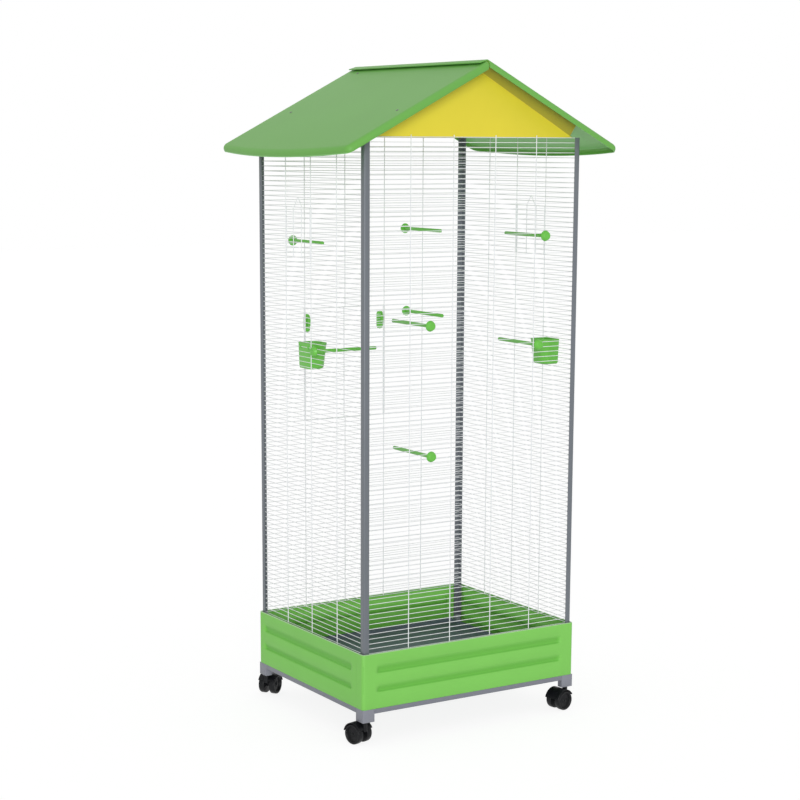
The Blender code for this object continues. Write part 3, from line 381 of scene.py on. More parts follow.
def make_coat_grain():
    """Orange peel and fine specks: two noises, as a height and a gloss value round one half."""
    tree, entry, end = make_group("coat_grain", [("Scale", FLOAT), ("Speck", FLOAT)],
                                  [("Height", FLOAT), ("Gloss", FLOAT)])
    place = add_node(tree, "ShaderNodeTexCoord")
    peel = add_node(tree, "ShaderNodeTexNoise", values={"Detail": 2.0})
    specks = add_node(tree, "ShaderNodeTexVoronoi", {"feature": "F1"})
    tree.links.new(place.outputs["Object"], peel.inputs["Vector"])
    tree.links.new(place.outputs["Object"], specks.inputs["Vector"])
    tree.links.new(entry.outputs["Scale"], peel.inputs["Scale"])
    finer = math_node(tree, "MULTIPLY", entry.outputs["Scale"], SPECKS_PER_PEEL)
    tree.links.new(finer, specks.inputs["Scale"])
    bumps = math_node(tree, "MULTIPLY", specks.outputs["Distance"], entry.outputs["Speck"])
    tree.links.new(math_node(tree, "ADD", peel.outputs["Fac"], bumps), end.inputs["Height"])
    tree.links.new(peel.outputs["Fac"], end.inputs["Gloss"])
    return tree


def make_floor_dust():
    """Dust that thins out with height: a noise mask times 1 - height / reach, never below 0."""
    tree, entry, end = make_group("floor_dust", [("Reach", FLOAT), ("Scale", FLOAT)], [("Mask", FLOAT)])
    place = add_node(tree, "ShaderNodeTexCoord")
    split = add_node(tree, "ShaderNodeSeparateXYZ")
    noise = add_node(tree, "ShaderNodeTexNoise", values={"Detail": 5.0, "Roughness": 0.65})
    tree.links.new(place.outputs["Object"], split.inputs[0])
    tree.links.new(place.outputs["Object"], noise.inputs["Vector"])
    tree.links.new(entry.outputs["Scale"], noise.inputs["Scale"])
    share = math_node(tree, "SUBTRACT", 1.0, math_node(tree, "DIVIDE", split.outputs["Z"],
                                                       entry.outputs["Reach"]))
    patch = math_node(tree, "MULTIPLY", math_node(tree, "MAXIMUM", share, 0.0), noise.outputs["Fac"])
    tree.links.new(patch, end.inputs["Mask"])
    return tree


def make_painted_shade_band():
    """Painted shade by how deep a surface lies behind a face: the smaller of two half sizes less |x| or
    |y|, between two heights, as a mask from 0 at the shallow depth to 1 at the deep one."""
    inputs = ["Half X", "Half Y", "Shallow", "Deep", "Low", "High"]
    tree, entry, end = make_group("painted_shade_band", [(name, FLOAT) for name in inputs], [("Mask", FLOAT)])
    place = add_node(tree, "ShaderNodeTexCoord")
    split = add_node(tree, "ShaderNodeSeparateXYZ")
    tree.links.new(place.outputs["Object"], split.inputs[0])
    depth = []
    for axis in "XY":
        away = math_node(tree, "ABSOLUTE", split.outputs[axis], 0.0)
        depth.append(math_node(tree, "SUBTRACT", entry.outputs["Half " + axis], away))
    band = add_node(tree, "ShaderNodeMapRange", {"interpolation_type": "SMOOTHSTEP"})
    tree.links.new(math_node(tree, "MINIMUM", *depth), band.inputs["Value"])
    tree.links.new(entry.outputs["Shallow"], band.inputs["From Min"])
    tree.links.new(entry.outputs["Deep"], band.inputs["From Max"])
    above = math_node(tree, "GREATER_THAN", split.outputs["Z"], entry.outputs["Low"])
    below = math_node(tree, "LESS_THAN", split.outputs["Z"], entry.outputs["High"])
    within = math_node(tree, "MULTIPLY", above, below)
    tree.links.new(math_node(tree, "MULTIPLY", band.outputs["Result"], within), end.inputs["Mask"])
    return tree


def make_painted_rim_highlight():
    """A painted highlight along a level rim, where light catches the top hem: a mask from 0 at the low
    height to 1 at the high one.
    """
    tree, entry, end = make_group("painted_rim_highlight", [("Low", FLOAT), ("High", FLOAT)], [("Mask", FLOAT)])
    place = add_node(tree, "ShaderNodeTexCoord")
    split = add_node(tree, "ShaderNodeSeparateXYZ")
    band = add_node(tree, "ShaderNodeMapRange", {"interpolation_type": "SMOOTHSTEP"})
    tree.links.new(place.outputs["Object"], split.inputs[0])
    tree.links.new(split.outputs["Z"], band.inputs["Value"])
    tree.links.new(entry.outputs["Low"], band.inputs["From Min"])
    tree.links.new(entry.outputs["High"], band.inputs["From Max"])
    tree.links.new(band.outputs["Result"], end.inputs["Mask"])
    return tree


TONE_DRIFT = make_tone_drift()
PAINTED_RIM_HIGHLIGHT = make_painted_rim_highlight()
PAINTED_SHADE_BAND = make_painted_shade_band()
COAT_GRAIN = make_coat_grain()
FLOOR_DUST = make_floor_dust()
DUST_COLOR = (0.42, 0.40, 0.36)
DUST_SCALE = 60.0
# A painted highlight along the skirts' top hem: its pale colour and the band it lies in
RIM_HIGHLIGHT_COLOR = linear(206, 232, 196)
RIM_HIGHLIGHT_BAND = {"Low": SKIRT_TOP - 0.0016, "High": SKIRT_TOP - 0.0004}
# Faces turned down past this get the painted lighter underside
FACING_DOWN = -0.5
NO_LIMIT = 10.0
# Painted shade in the skirts' pressed grooves
GROOVE_SHADE_BAND = {"Half X": SKIRT_X, "Half Y": SKIRT_Y, "Shallow": 0.0, "Deep": GROOVE_DEPTH,
               "Low": GROOVES[0][0], "High": GROOVES[1][1]}
# Painted shade on the gable flanges under the eaves
FLANGE_SHADE_BAND = {"Half X": NO_LIMIT, "Half Y": FLANGE_END, "Shallow": FLANGE_FADE[0],
               "Deep": FLANGE_FADE[1], "Low": FLANGE_HEIGHTS[0], "High": FLANGE_HEIGHTS[1]}


def add_group(tree, group, values):
    """A shared group placed in a material, with the values of its sockets."""
    node = tree.nodes.new("ShaderNodeGroup")
    node.node_tree = group
    for key, value in values.items():
        node.inputs[key].default_value = value
    return node


def tinted(tree, surface, tint, share):
    """A colour socket mixed with a tint. The colour sockets of the mix are its 7th and 8th, the mixed
    colour its 3rd output."""
    mix = add_node(tree, "ShaderNodeMix", {"data_type": "RGBA"}, {7: (*tint, 1.0)})
    tree.links.new(share, mix.inputs[0])
    tree.links.new(surface, mix.inputs[6])
    return mix.outputs[2]


def tinted_where(tree, surface, group, values, tint, amount):
    """A colour socket tinted by a group's mask times an amount."""
    mask = add_group(tree, group, values).outputs["Mask"]
    return tinted(tree, surface, tint, math_node(tree, "MULTIPLY", mask, amount))


def finish_material(name, color, roughness, drift=0.05, drift_scale=9.0, grain=420.0, speck=0.2,
                    depth=0.00008, gloss_swing=0.12, metallic=0.0, coat=0.0, coat_roughness=0.15,
                    specular=0.4, dust=0.0, dust_reach=0.05, rim=0.0, shade_bands=(), painted_underside_light=None):
    """A coated or moulded finish with drifting tone, a fine relief, uneven gloss and some dust, and where
    asked painted shade in bands, a painted lighter underside and a painted highlight along a rim.
    """
    material = bpy.data.materials.new(name)
    material.use_nodes = True
    tree = material.node_tree
    shader = tree.nodes["Principled BSDF"]
    shader.inputs["Metallic"].default_value = metallic
    shader.inputs["Coat Weight"].default_value = coat
    shader.inputs["Coat Roughness"].default_value = coat_roughness
    shader.inputs["Specular IOR Level"].default_value = specular
    tone = add_group(tree, TONE_DRIFT, {"Color": (*color, 1.0), "Scale": drift_scale, "Amount": drift})
    relief = add_group(tree, COAT_GRAIN, {"Scale": grain, "Speck": speck})
    surface = tone.outputs["Color"]
    if dust:
        values = {"Reach": dust_reach, "Scale": DUST_SCALE}
        surface = tinted_where(tree, surface, FLOOR_DUST, values, DUST_COLOR, dust)
    # Painted shade: each band darkens the colour where the surface lies deep behind a face
    for values, tint, amount in shade_bands:
        surface = tinted_where(tree, surface, PAINTED_SHADE_BAND, values, tint, amount)
    # Painted light: a lighter tone on faces turned downward, for the light they catch from below
    if painted_underside_light:
        place = add_node(tree, "ShaderNodeTexCoord")
        split = add_node(tree, "ShaderNodeSeparateXYZ")
        tree.links.new(place.outputs["Normal"], split.inputs[0])
        below = math_node(tree, "LESS_THAN", split.outputs["Z"], FACING_DOWN)
        surface = tinted(tree, surface, painted_underside_light, below)
    # Painted highlight: a paler band along the top hem where light catches it
    if rim:
        surface = tinted_where(tree, surface, PAINTED_RIM_HIGHLIGHT, RIM_HIGHLIGHT_BAND, RIM_HIGHLIGHT_COLOR, rim)
    tree.links.new(surface, shader.inputs["Base Color"])
    swing = math_node(tree, "MULTIPLY", math_node(tree, "SUBTRACT", relief.outputs["Gloss"], 0.5),
                      gloss_swing)
    tree.links.new(math_node(tree, "ADD", swing, roughness), shader.inputs["Roughness"])
    bump = add_node(tree, "ShaderNodeBump", values={"Strength": 1.0, "Distance": depth})
    tree.links.new(relief.outputs["Height"], bump.inputs["Height"])
    tree.links.new(bump.outputs["Normal"], shader.inputs["Normal"])
    return material


FINISHES = {
    # The skirts' green: painted shade darkens its grooves, and a painted highlight lightens its top hem
    "green_sheet": dict(color=linear(134, 211, 97), roughness=0.46, grain=520.0, specular=0.3, rim=0.7,
                        shade_bands=((GROOVE_SHADE_BAND, linear(96, 178, 58), 0.6),)),
    # The roof's green: a darker base than the skirts' green, painted shade for the weaker light from above,
    # and a painted lighter underside
    "roof_green": dict(color=linear(108, 178, 76), roughness=0.50, drift=0.06, drift_scale=5.0,
                       grain=380.0, speck=0.5, depth=0.00012, specular=0.5,
                       painted_underside_light=linear(146, 214, 128)),
    # The gables' yellow: painted shade darkens the flanges under the eaves
    "yellow_sheet": dict(color=linear(238, 220, 60), roughness=0.46, grain=460.0, speck=0.4,
                         shade_bands=((FLANGE_SHADE_BAND, linear(170, 162, 40), 0.9),)),
    "grey_post": dict(color=linear(116, 121, 128), roughness=0.40, grain=900.0, speck=0.5,
                      metallic=0.15),
    "white_wire": dict(color=linear(246, 248, 250), roughness=0.34, drift=0.03, drift_scale=30.0,
                       grain=1500.0, depth=0.00003, coat=0.2),
    "grey_rail": dict(color=linear(128, 130, 142), roughness=0.42, grain=900.0, speck=0.5,
                      metallic=0.1, dust=0.25, dust_reach=0.12),
    "grey_socket": dict(color=linear(140, 142, 154), roughness=0.50, grain=700.0, dust=0.3,
                        dust_reach=0.12),
    "dark_pan": dict(color=linear(94, 106, 116), roughness=0.46, drift=0.10, drift_scale=14.0,
                     grain=600.0, speck=0.6, depth=0.0001),
    "green_plastic": dict(color=linear(112, 200, 78), roughness=0.34, grain=800.0, depth=0.00004),
    "black_plastic": dict(color=linear(18, 19, 22), roughness=0.42, drift=0.15, grain=700.0,
                          speck=0.6, specular=0.2, dust=0.03, dust_reach=0.03),
    "steel_screw": dict(color=linear(120, 122, 118), roughness=0.35, grain=1200.0, metallic=0.8),
}
MATERIALS = {name: finish_material(name, **settings) for name, settings in FINISHES.items()}


# Shapes

NEARLY_UP = 0.9
STAND_UP = np.array([(1, 0, 0), (0, 0, -1), (0, 1, 0)], float)
SWAP_X_Z = np.array([(0, 0, 1), (0, 1, 0), (1, 0, 0)], float)
SHAPE_DOUBLES = 1e-6
NODE_DOUBLES = 1e-5
NODE_FLAT = math.radians(0.5)
SHARP = math.radians(35)


def joined(shapes):
    """Several shapes as one: their points in a row, with each one's faces counted on."""
    points = []
    faces = []
    count = 0
    for cloud, polygons in shapes:
        points.append(cloud)
        faces += [[index + count for index in face] for face in polygons]
        count += len(cloud)
    return np.concatenate(points), faces


def unit(vectors):
    """Vectors over their own lengths."""
    return vectors / np.linalg.norm(vectors, axis=-1, keepdims=True)


def lattice(rows, columns, wrap=False):
    """Faces between neighbouring points of rows x columns, the columns closed to a ring if asked."""
    row = np.arange(rows - 1)[:, None]
    column = np.arange(columns if wrap else columns - 1)[None, :]
    beside = (column + 1) % columns
    corners = (row * columns + column, row * columns + beside, (row + 1) * columns + beside,
               (row + 1) * columns + column)
    spread = [np.broadcast_to(corner, (rows - 1, column.shape[1])) for corner in corners]
    return np.stack(spread, -1).reshape(-1, 4).tolist()


def lofted(rings, cap_first=True, cap_last=True):
    """A skin through rings of equally many points, with flat ends where asked."""
    rings = np.asarray(rings, float)
    count, sides = rings.shape[:2]
    faces = lattice(count, sides, True)
    if cap_first:
        faces.append(list(range(sides))[::-1])
    if cap_last:
        faces.append(list(range((count - 1) * sides, count * sides)))
    return rings.reshape(-1, 3), faces


def round_bars(starts, ends, radius, sides=WIRE_SIDES):
    """Straight round wires: at both ends a ring, centre + radius (cos a u + sin a v), u and v square
    to the wire."""
    starts = np.atleast_2d(np.asarray(starts, float))
    ends = np.atleast_2d(np.asarray(ends, float))
    axis = unit(ends - starts)
    helper = np.where(np.abs(axis[:, 2:]) > NEARLY_UP, (1.0, 0.0, 0.0), (0.0, 0.0, 1.0))
    u = unit(np.cross(axis, helper))
    v = np.cross(axis, u)
    angle = math.tau * np.arange(sides) / sides
    ring = radius * (np.cos(angle)[:, None] * u[:, None] + np.sin(angle)[:, None] * v[:, None])
    points = np.stack([starts[:, None] + ring, ends[:, None] + ring], 1).reshape(-1, 3)
    base = 2 * sides * np.arange(len(starts))[:, None, None]
    index = np.arange(sides)
    beside = (index + 1) % sides
    around = np.stack([index, beside, beside + sides, index + sides], -1)[None] + base
    first = index[::-1][None] + base[:, :, 0]
    last = (index + sides)[None] + base[:, :, 0]
    return points, around.reshape(-1, 4).tolist() + first.tolist() + last.tolist()


def rounded_path(corners, radius, steps=4, closed=False):
    """A path through corners, each one rounded by a curve that starts and ends that far from it."""
    corners = np.asarray(corners, float)
    before = unit(np.roll(corners, 1, 0) - corners)
    after = unit(np.roll(corners, -1, 0) - corners)
    t = np.linspace(0, 1, steps + 1)[None, :, None]
    start = (corners + radius * before)[:, None]
    end = (corners + radius * after)[:, None]
    bends = (1 - t) ** 2 * start + 2 * t * (1 - t) * corners[:, None] + t ** 2 * end
    if closed:
        return bends.reshape(-1, 3)
    return np.concatenate([corners[:1], bends[1:-1].reshape(-1, 3), corners[-1:]])


def bent_wire(path, radius, facing, sides=WIRE_SIDES, closed=False):
    """A round wire along a flat path: rings path + radius (cos a s + sin a n), with n the direction
    that the path's plane faces and s square to the wire within the plane."""
    path = np.asarray(path, float)
    normal = unit(np.asarray(facing, float))
    ahead = np.roll(path, -1, 0)
    behind = np.roll(path, 1, 0)
    if not closed:
        ahead[-1] = path[-1]
        behind[0] = path[0]
    aside = np.cross(normal, unit(ahead - behind))
    angle = math.tau * np.arange(sides) / sides
    rings = path[:, None] + radius * (np.cos(angle)[None, :, None] * aside[:, None]
                                      + np.sin(angle)[None, :, None] * normal)
    if closed:
        rings = np.concatenate([rings, rings[:1]])
        return lofted(rings, False, False)
    return lofted(rings)


def turned(profile, steps, closed=False):
    """A profile of radius and height turned round Z: (r cos a, r sin a, h)."""
    profile = np.asarray(profile, float)
    if closed:
        profile = np.concatenate([profile, profile[:1]])
    angle = math.tau * np.arange(steps) / steps
    radius = profile[:, :1]
    height = np.broadcast_to(profile[:, 1:], (len(profile), steps))
    return lofted(np.stack([radius * np.cos(angle), radius * np.sin(angle), height], -1), False, False)


def box(x0, x1, y0, y1, z0, z1):
    """A block between two corners."""
    ring = np.array([(x0, y0, z0), (x1, y0, z0), (x1, y1, z0), (x0, y1, z0)], float)
    return lofted([ring, ring + (0, 0, z1 - z0)])


def extruded(outline, low, high):
    """A flat outline drawn out from z = low to z = high."""
    outline = np.asarray(outline, float)
    rings = [np.column_stack([outline, np.full(len(outline), z)]) for z in (low, high)]
    return lofted(rings)


def arc(x, y, radius, start, end, steps):
    """Points (x + r cos a, y + r sin a), with the angles in degrees."""
    angle = np.radians(np.linspace(start, end, steps + 1))
    return np.column_stack([x + radius * np.cos(angle), y + radius * np.sin(angle)])


def changed(shape, matrix, shift=(0, 0, 0)):
    """A shape turned by a matrix of three rows, then moved."""
    points, faces = shape
    return points @ np.asarray(matrix, float).T + np.asarray(shift, float), faces


def turn_z(angle):
    """The matrix of a turn round Z."""
    c = math.cos(angle)
    s = math.sin(angle)
    return np.array([(c, -s, 0), (s, c, 0), (0, 0, 1)], float)


def on_side(shape, side, origin=(0, 0, 0)):
    """Stands a flat drawing up and turns it to its side: (x, y, z) goes to (x, -z, y), then round Z."""
    points, faces = shape
    return changed((points + np.asarray(origin, float), faces), turn_z(SIDE_TURN[side]) @ STAND_UP)


def made_mesh(name, shape, closed):
    """A shape's mesh with its doubles merged and, on a closed shape, its faces turned outwards."""
    points, faces = shape
    mesh = bpy.data.meshes.new(name)
    mesh.from_pydata(points.tolist(), [], faces)
    work = bmesh.new()
    work.from_mesh(mesh)
    bmesh.ops.remove_doubles(work, verts=work.verts, dist=SHAPE_DOUBLES)
    if closed:
        bmesh.ops.recalc_face_normals(work, faces=work.faces)
    work.to_mesh(mesh)
    work.free()
    return mesh


def worked_out(mesh, modifiers):
    """The mesh that some modifiers give."""
    helper = bpy.data.objects.new("helper", mesh)
    bpy.context.scene.collection.objects.link(helper)
    for kind, settings in modifiers:
        modifier = helper.modifiers.new(kind.lower(), kind)
        for key, value in settings.items():
            setattr(modifier, key, value)
    depsgraph = bpy.context.evaluated_depsgraph_get()
    result = bpy.data.meshes.new_from_object(helper.evaluated_get(depsgraph))
    bpy.data.objects.remove(helper, do_unlink=True)
    return result


def add_mesh(name, mesh, material, body, replaced, smooth):
    """A mesh as a named piece of its body, smooth up to an angle in degrees."""
    mesh.materials.clear()
    mesh.materials.append(MATERIALS[material])
    mesh.shade_smooth()
    mesh.set_sharp_from_angle(angle=math.radians(smooth))
    piece = bpy.data.objects.new(name, mesh)
    bpy.context.scene.collection.objects.link(piece)
    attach(piece, body)
    if replaced:
        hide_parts(*replaced)
    return piece


def rounding(width):
    """The bevel that rounds sharp edges."""
    return ("BEVEL", {"width": width, "segments": 2, "limit_method": "ANGLE",
                      "angle_limit": SHARP})


def add_piece(name, shapes, material, body, replaced=(), wall=0.0, edge=0.0,
              smooth=SMOOTH_SHEET):
    """One named piece. A wall makes an open skin a sheet, and an edge rounds its sharp edges."""
    mesh = made_mesh(name, joined(shapes), closed=not wall)
    modifiers = []
    if wall:
        modifiers.append(("SOLIDIFY", {"thickness": wall, "offset": -1.0, "use_even_offset": True}))
    if edge:
        modifiers.append(rounding(edge))
    if modifiers:
        mesh = worked_out(mesh, modifiers)
    return add_mesh(name, mesh, material, body, replaced, smooth)


def add_soft_copy(name, node, material, body, edge):
    """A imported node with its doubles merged, its flat faces joined and its edges rounded."""
    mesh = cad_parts[node].data.copy()
    work = bmesh.new()
    work.from_mesh(mesh)
    bmesh.ops.remove_doubles(work, verts=work.verts, dist=NODE_DOUBLES)
    bmesh.ops.dissolve_limit(work, angle_limit=NODE_FLAT, verts=work.verts, edges=work.edges)
    work.to_mesh(mesh)
    work.free()
    mesh = worked_out(mesh, [rounding(edge)])
    return add_mesh(name, mesh, material, body, (node,), SMOOTH_SHEET)


# Wire grids

def rung_height(row):
    """Height of the middle of a rung."""
    return GRID_BASE + RUNG_PITCH * row


def gap_height(row):
    """Height of the middle of the gap above a rung."""
    return rung_height(row + 0.5)


class Layers:
    """How far out a grid's wires lie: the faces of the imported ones, and the middles of the round ones."""

    def __init__(self, half):
        self.upright_out = half - POST_WALL - CLEARANCE
        self.upright_in = self.upright_out - UPRIGHT
        self.rung_out = self.upright_in - CLEARANCE
        self.rung_in = self.rung_out - RUNG
        self.rung = self.rung_in + RUNG_PLACE
        self.upright = self.rung + CROSSING


SIDE_LAYERS = Layers(HALF_X)
END_LAYERS = Layers(HALF_Y)
LAYERS = {"front": END_LAYERS, "rear": END_LAYERS, "left": SIDE_LAYERS, "right": SIDE_LAYERS}
GRID_HALF = {
    "front": SIDE_LAYERS.rung_in - CLEARANCE,
    "rear": SIDE_LAYERS.rung_in - CLEARANCE,
    "left": END_LAYERS.upright_out,
    "right": END_LAYERS.upright_out,
}
UPRIGHTS = {
    "front": CELL_X * (np.arange(1, CELLS_X) - CELLS_X / 2),
    "rear": CELL_X * (np.arange(1, CELLS_X) - CELLS_X / 2),
    "left": CELL_Y * (np.arange(1, CELLS_Y) - CELLS_Y / 2),
    "right": CELL_Y * (np.arange(1, CELLS_Y) - CELLS_Y / 2),
}
OPENINGS = {
    "left": (CELL_Y * LIFT_CELL["left"], CELL_Y * (LIFT_CELL["left"] + 1), *LIFT_ROWS),
    "right": (CELL_Y * LIFT_CELL["right"], CELL_Y * (LIFT_CELL["right"] + 1), *LIFT_ROWS),
    "rear": (CELL_X * SERVICE_CELLS[0], CELL_X * SERVICE_CELLS[1], *SERVICE_ROWS),
}
SERVICE_AXIS = END_LAYERS.upright_out + CLEARANCE + RUNG + SERVICE_PIN_OUT


def rungs(rows, start, end, z, radius=RUNG_ROUND):
    """Level wires at some rows, from x = start to x = end."""
    height = rung_height(np.asarray(rows, float))
    same = np.ones_like(height)
    return round_bars(np.column_stack([start * same, height, z * same]),
                      np.column_stack([end * same, height, z * same]), radius)


def upright_bars(places, low, high, z):
    """Upright wires at some places, from y = low to y = high."""
    places = np.asarray(places, float)
    same = np.ones_like(places)
    return round_bars(np.column_stack([places, low * same, z * same]),
                      np.column_stack([places, high * same, z * same]), UPRIGHT_ROUND)


def hinge_eye(place):
    """A wire ring round the service door's pin."""
    wire = (HINGE_EYE - SERVICE_PIN - CLEARANCE) / 2
    path = arc(0, 0, HINGE_EYE - wire, 0, 360 - 360 / HINGE_EYE_STEPS, HINGE_EYE_STEPS - 1)
    circle = np.column_stack([np.zeros(len(path)), path])
    centre = (place, rung_height(SERVICE_ROWS[0]), SERVICE_AXIS)
    return bent_wire(circle + centre, wire, (1, 0, 0), HINGE_EYE_SIDES, closed=True)


def make_grid(side):
    """A grid of level wires with uprights outside them, both cut away where a door's opening is."""
    layers = LAYERS[side]
    half = GRID_HALF[side]
    low = rung_height(0) - UPRIGHT / 2
    high = rung_height(ROWS) + UPRIGHT_END
    every = np.arange(ROWS + 1)
    if side not in OPENINGS:
        shapes = [rungs(every, -half, half, layers.rung),
                  upright_bars(UPRIGHTS[side], low, high, layers.upright)]
    else:
        left, right, first, last = OPENINGS[side]
        broken = (every > first) & (every < last)
        shapes = [rungs(every[~broken], -half, half, layers.rung),
                  rungs(every[broken], -half, left, layers.rung),
                  rungs(every[broken], right, half, layers.rung),
                  upright_bars((left, right), rung_height(first), rung_height(last), layers.rung)]
        crossing = (UPRIGHTS[side] > left + UPRIGHT) & (UPRIGHTS[side] < right - UPRIGHT)
        shapes.append(upright_bars(UPRIGHTS[side][~crossing], low, high, layers.upright))
        if crossing.any():
            cut = UPRIGHTS[side][crossing]
            shapes.append(upright_bars(cut, low, rung_height(first), layers.upright))
            shapes.append(upright_bars(cut, rung_height(last), high, layers.upright))
            shapes.append(rungs((first, last), left, right, layers.upright, UPRIGHT_ROUND))
            eyes = (left + HINGE_EYE_INSET, right - HINGE_EYE_INSET)
            shapes += [hinge_eye(place) for place in eyes]
    add_piece("wires_" + side, [on_side(shape, side) for shape in shapes], "white_wire", "cage_frame",
              ("wire_grid_" + side,))


def make_lift_door(side):
    """A wire door that slides between two uprights, with a pointed handle and four guides."""
    layers = LAYERS[side]
    left, right, first, last = OPENINGS[side]
    half = (right - left) / 2 - UPRIGHT / 2 - CLEARANCE
    leaf = layers.upright_in + RUNG / 2
    top = rung_height(last)
    bottom = rung_height(first)
    sixth = half / 3
    edge = half - LIFT_BAR / 2
    shapes = [rungs(np.arange(first, last + 1), -half, half, leaf),
              upright_bars((-edge, edge), bottom, top, leaf),
              upright_bars((-sixth, sixth), bottom - RUNG / 2, top + RUNG / 2, leaf + CROSSING)]
    reach = LIFT_HANDLE_HALF - RUNG / 2
    peak = [(-reach, top, leaf), (0, top + LIFT_HANDLE - RUNG / 2, leaf), (reach, top, leaf)]
    shapes.append(bent_wire(rounded_path(peak, LIFT_HANDLE_BEND), RUNG_ROUND, (0, 0, 1)))
    outside = layers.upright_out + CLEARANCE + LIFT_GUIDE / 2
    far = half + 2 * CLEARANCE + UPRIGHT + LIFT_GUIDE / 2
    for sign in (-1, 1):
        for height in (bottom, top):
            plan = [(sign * edge, height, leaf), (sign * edge, height, outside),
                    (sign * far, height, outside), (sign * far, height, leaf)]
            shapes.append(bent_wire(rounded_path(plan, LIFT_GUIDE_BEND), LIFT_GUIDE / 2, (0, 1, 0)))
    origin = ((left + right) / 2, 0, 0)
    name = "lift_door_" + side
    add_piece("lift_leaf_" + side, [on_side(shape, side, origin) for shape in shapes], "white_wire", name,
              (name,))


def make_service_door():
    """A wire leaf outside the rear uprights, hung on a pin along its lower edge."""
    left, right, first, last = OPENINGS["rear"]
    half = (right - left) / 2 + UPRIGHT / 2
    leaf = END_LAYERS.upright_out + CLEARANCE + RUNG / 2
    bottom = rung_height(first)
    top = rung_height(last)
    edge = half - UPRIGHT / 2
    centre = UPRIGHTS["rear"][2] - (left + right) / 2
    shapes = [rungs(np.arange(first + 1, last + 1), -half, half, leaf),
              upright_bars((-edge, edge), bottom, top + RUNG / 2, leaf),
              upright_bars((centre,), bottom, top + RUNG / 2, leaf + CROSSING),
              round_bars((-half, bottom, SERVICE_AXIS), (half, bottom, SERVICE_AXIS), SERVICE_PIN)]
    origin = ((left + right) / 2, 0, 0)
    add_piece("service_leaf", [on_side(shape, "rear", origin) for shape in shapes], "white_wire",
              "service_door", ("service_door",))


def make_latch(name, sign):
    """A turn clip: an oval grip with a domed face, its pin and its tongue inside the grid.

    The grip's rings are the oval with its width times a share, and its length less as much."""
    left, right = OPENINGS["rear"][:2]
    place = left + LATCH_INSET if sign < 0 else right - LATCH_INSET
    low = END_LAYERS.upright_out + 2 * CLEARANCE + RUNG
    w = LATCH_WIDTH / 2
    straight = LATCH_HEIGHT / 2 - w
    oval = np.concatenate([arc(0, straight, w, 0, 180, LATCH_GRIP_STEPS),
                           arc(0, -straight, w, 180, 360, LATCH_GRIP_STEPS)])
    rings = []
    for share, rise in LATCH_SECTION:
        ring = oval * (share, 1 - (1 - share) * w / (straight + w))
        rings.append(np.column_stack([ring + (0, LATCH_RISE), np.full(len(ring), low + rise)]))
    tongue_high = END_LAYERS.rung_in - CLEARANCE
    tongue_low = tongue_high - LATCH_TONGUE_THICK
    t = LATCH_TONGUE_WIDTH / 2
    plan = np.concatenate([[(-t, LATCH_TONGUE_BACK - t), (t, LATCH_TONGUE_BACK - t)],
                           arc(0, LATCH_TONGUE - t, t, 0, 180, LATCH_TONGUE_STEPS)])
    pin = round_bars((0, 0, tongue_high - SINK), (0, 0, low + SINK), LATCH_PIN, LATCH_PIN_SIDES)
    origin = (place, gap_height(LATCH_ROW), 0)
    shapes = [on_side(shape, "rear", origin)
              for shape in (lofted(rings), extruded(plan, tongue_low, tongue_high), pin)]
    add_piece(name.replace("door_latch", "turn_clip"), shapes, "green_plastic", name, (name,),
              smooth=SMOOTH_GRIP)


# Posts and base

def make_post(name, sx, sy):
    """An L section with a rolled outer corner, open towards the inside."""
    leg = POST_LEG
    wall = POST_WALL
    centre = (HALF_X - POST_CORNER, HALF_Y - POST_CORNER)
    outer = arc(*centre, POST_CORNER, 0, 90, POST_OUTER_STEPS)
    inner = arc(*centre, POST_CORNER - wall, 90, 0, POST_INNER_STEPS)
    outline = np.concatenate([[(HALF_X - wall, HALF_Y - leg), (HALF_X, HALF_Y - leg)], outer,
                              [(HALF_X - leg, HALF_Y), (HALF_X - leg, HALF_Y - wall)], inner])
    add_piece("post_" + name, [extruded(outline * (sx, sy), SKIRT_BOTTOM, POST_TOP)], "grey_post",
              "cage_frame", ("corner_post_" + name,), edge=SHEET_EDGE)


def smooth_step(value, low, high):
    """0 up to low, 1 from high, and 3 t^2 - 2 t^3 between."""
    t = np.clip((value - low) / (high - low), 0, 1)
    return t * t * (3 - 2 * t)


def eased(value):
    """0 below 0, 1 above 1, and near a straight line between: 1 - (1 - t) ^ power."""
    t = np.clip(value, 0, 1)
    return 1 - (1 - t) ** BROW_POWER


def skirt_path(corners, wraps):
    """Points and outward directions along a skirt: straight stretches in equal steps, and between them
    quarter circles, centre + radius (cos a, sin a)."""
    points = []
    outward = []
    for index, (start, end, facing) in enumerate(corners):
        start = np.asarray(start, float)
        end = np.asarray(end, float)
        length = np.linalg.norm(end - start)
        count = max(2, int(round(length / SKIRT_STEP)))
        share = np.linspace(0, 1, count + 1)[:, None]
        points.append(start + (end - start) * share)
        outward.append(np.tile(facing, (count + 1, 1)).astype(float))
        if index < len(wraps):
            centre, first, last = wraps[index]
            angle = np.radians(np.linspace(first, last, WRAP_POINTS))[1:-1]
            away = np.column_stack([np.cos(angle), np.sin(angle)])
            points.append(np.asarray(centre, float) + SKIRT_RADIUS * away)
            outward.append(away)
    return np.concatenate(points), np.concatenate(outward)


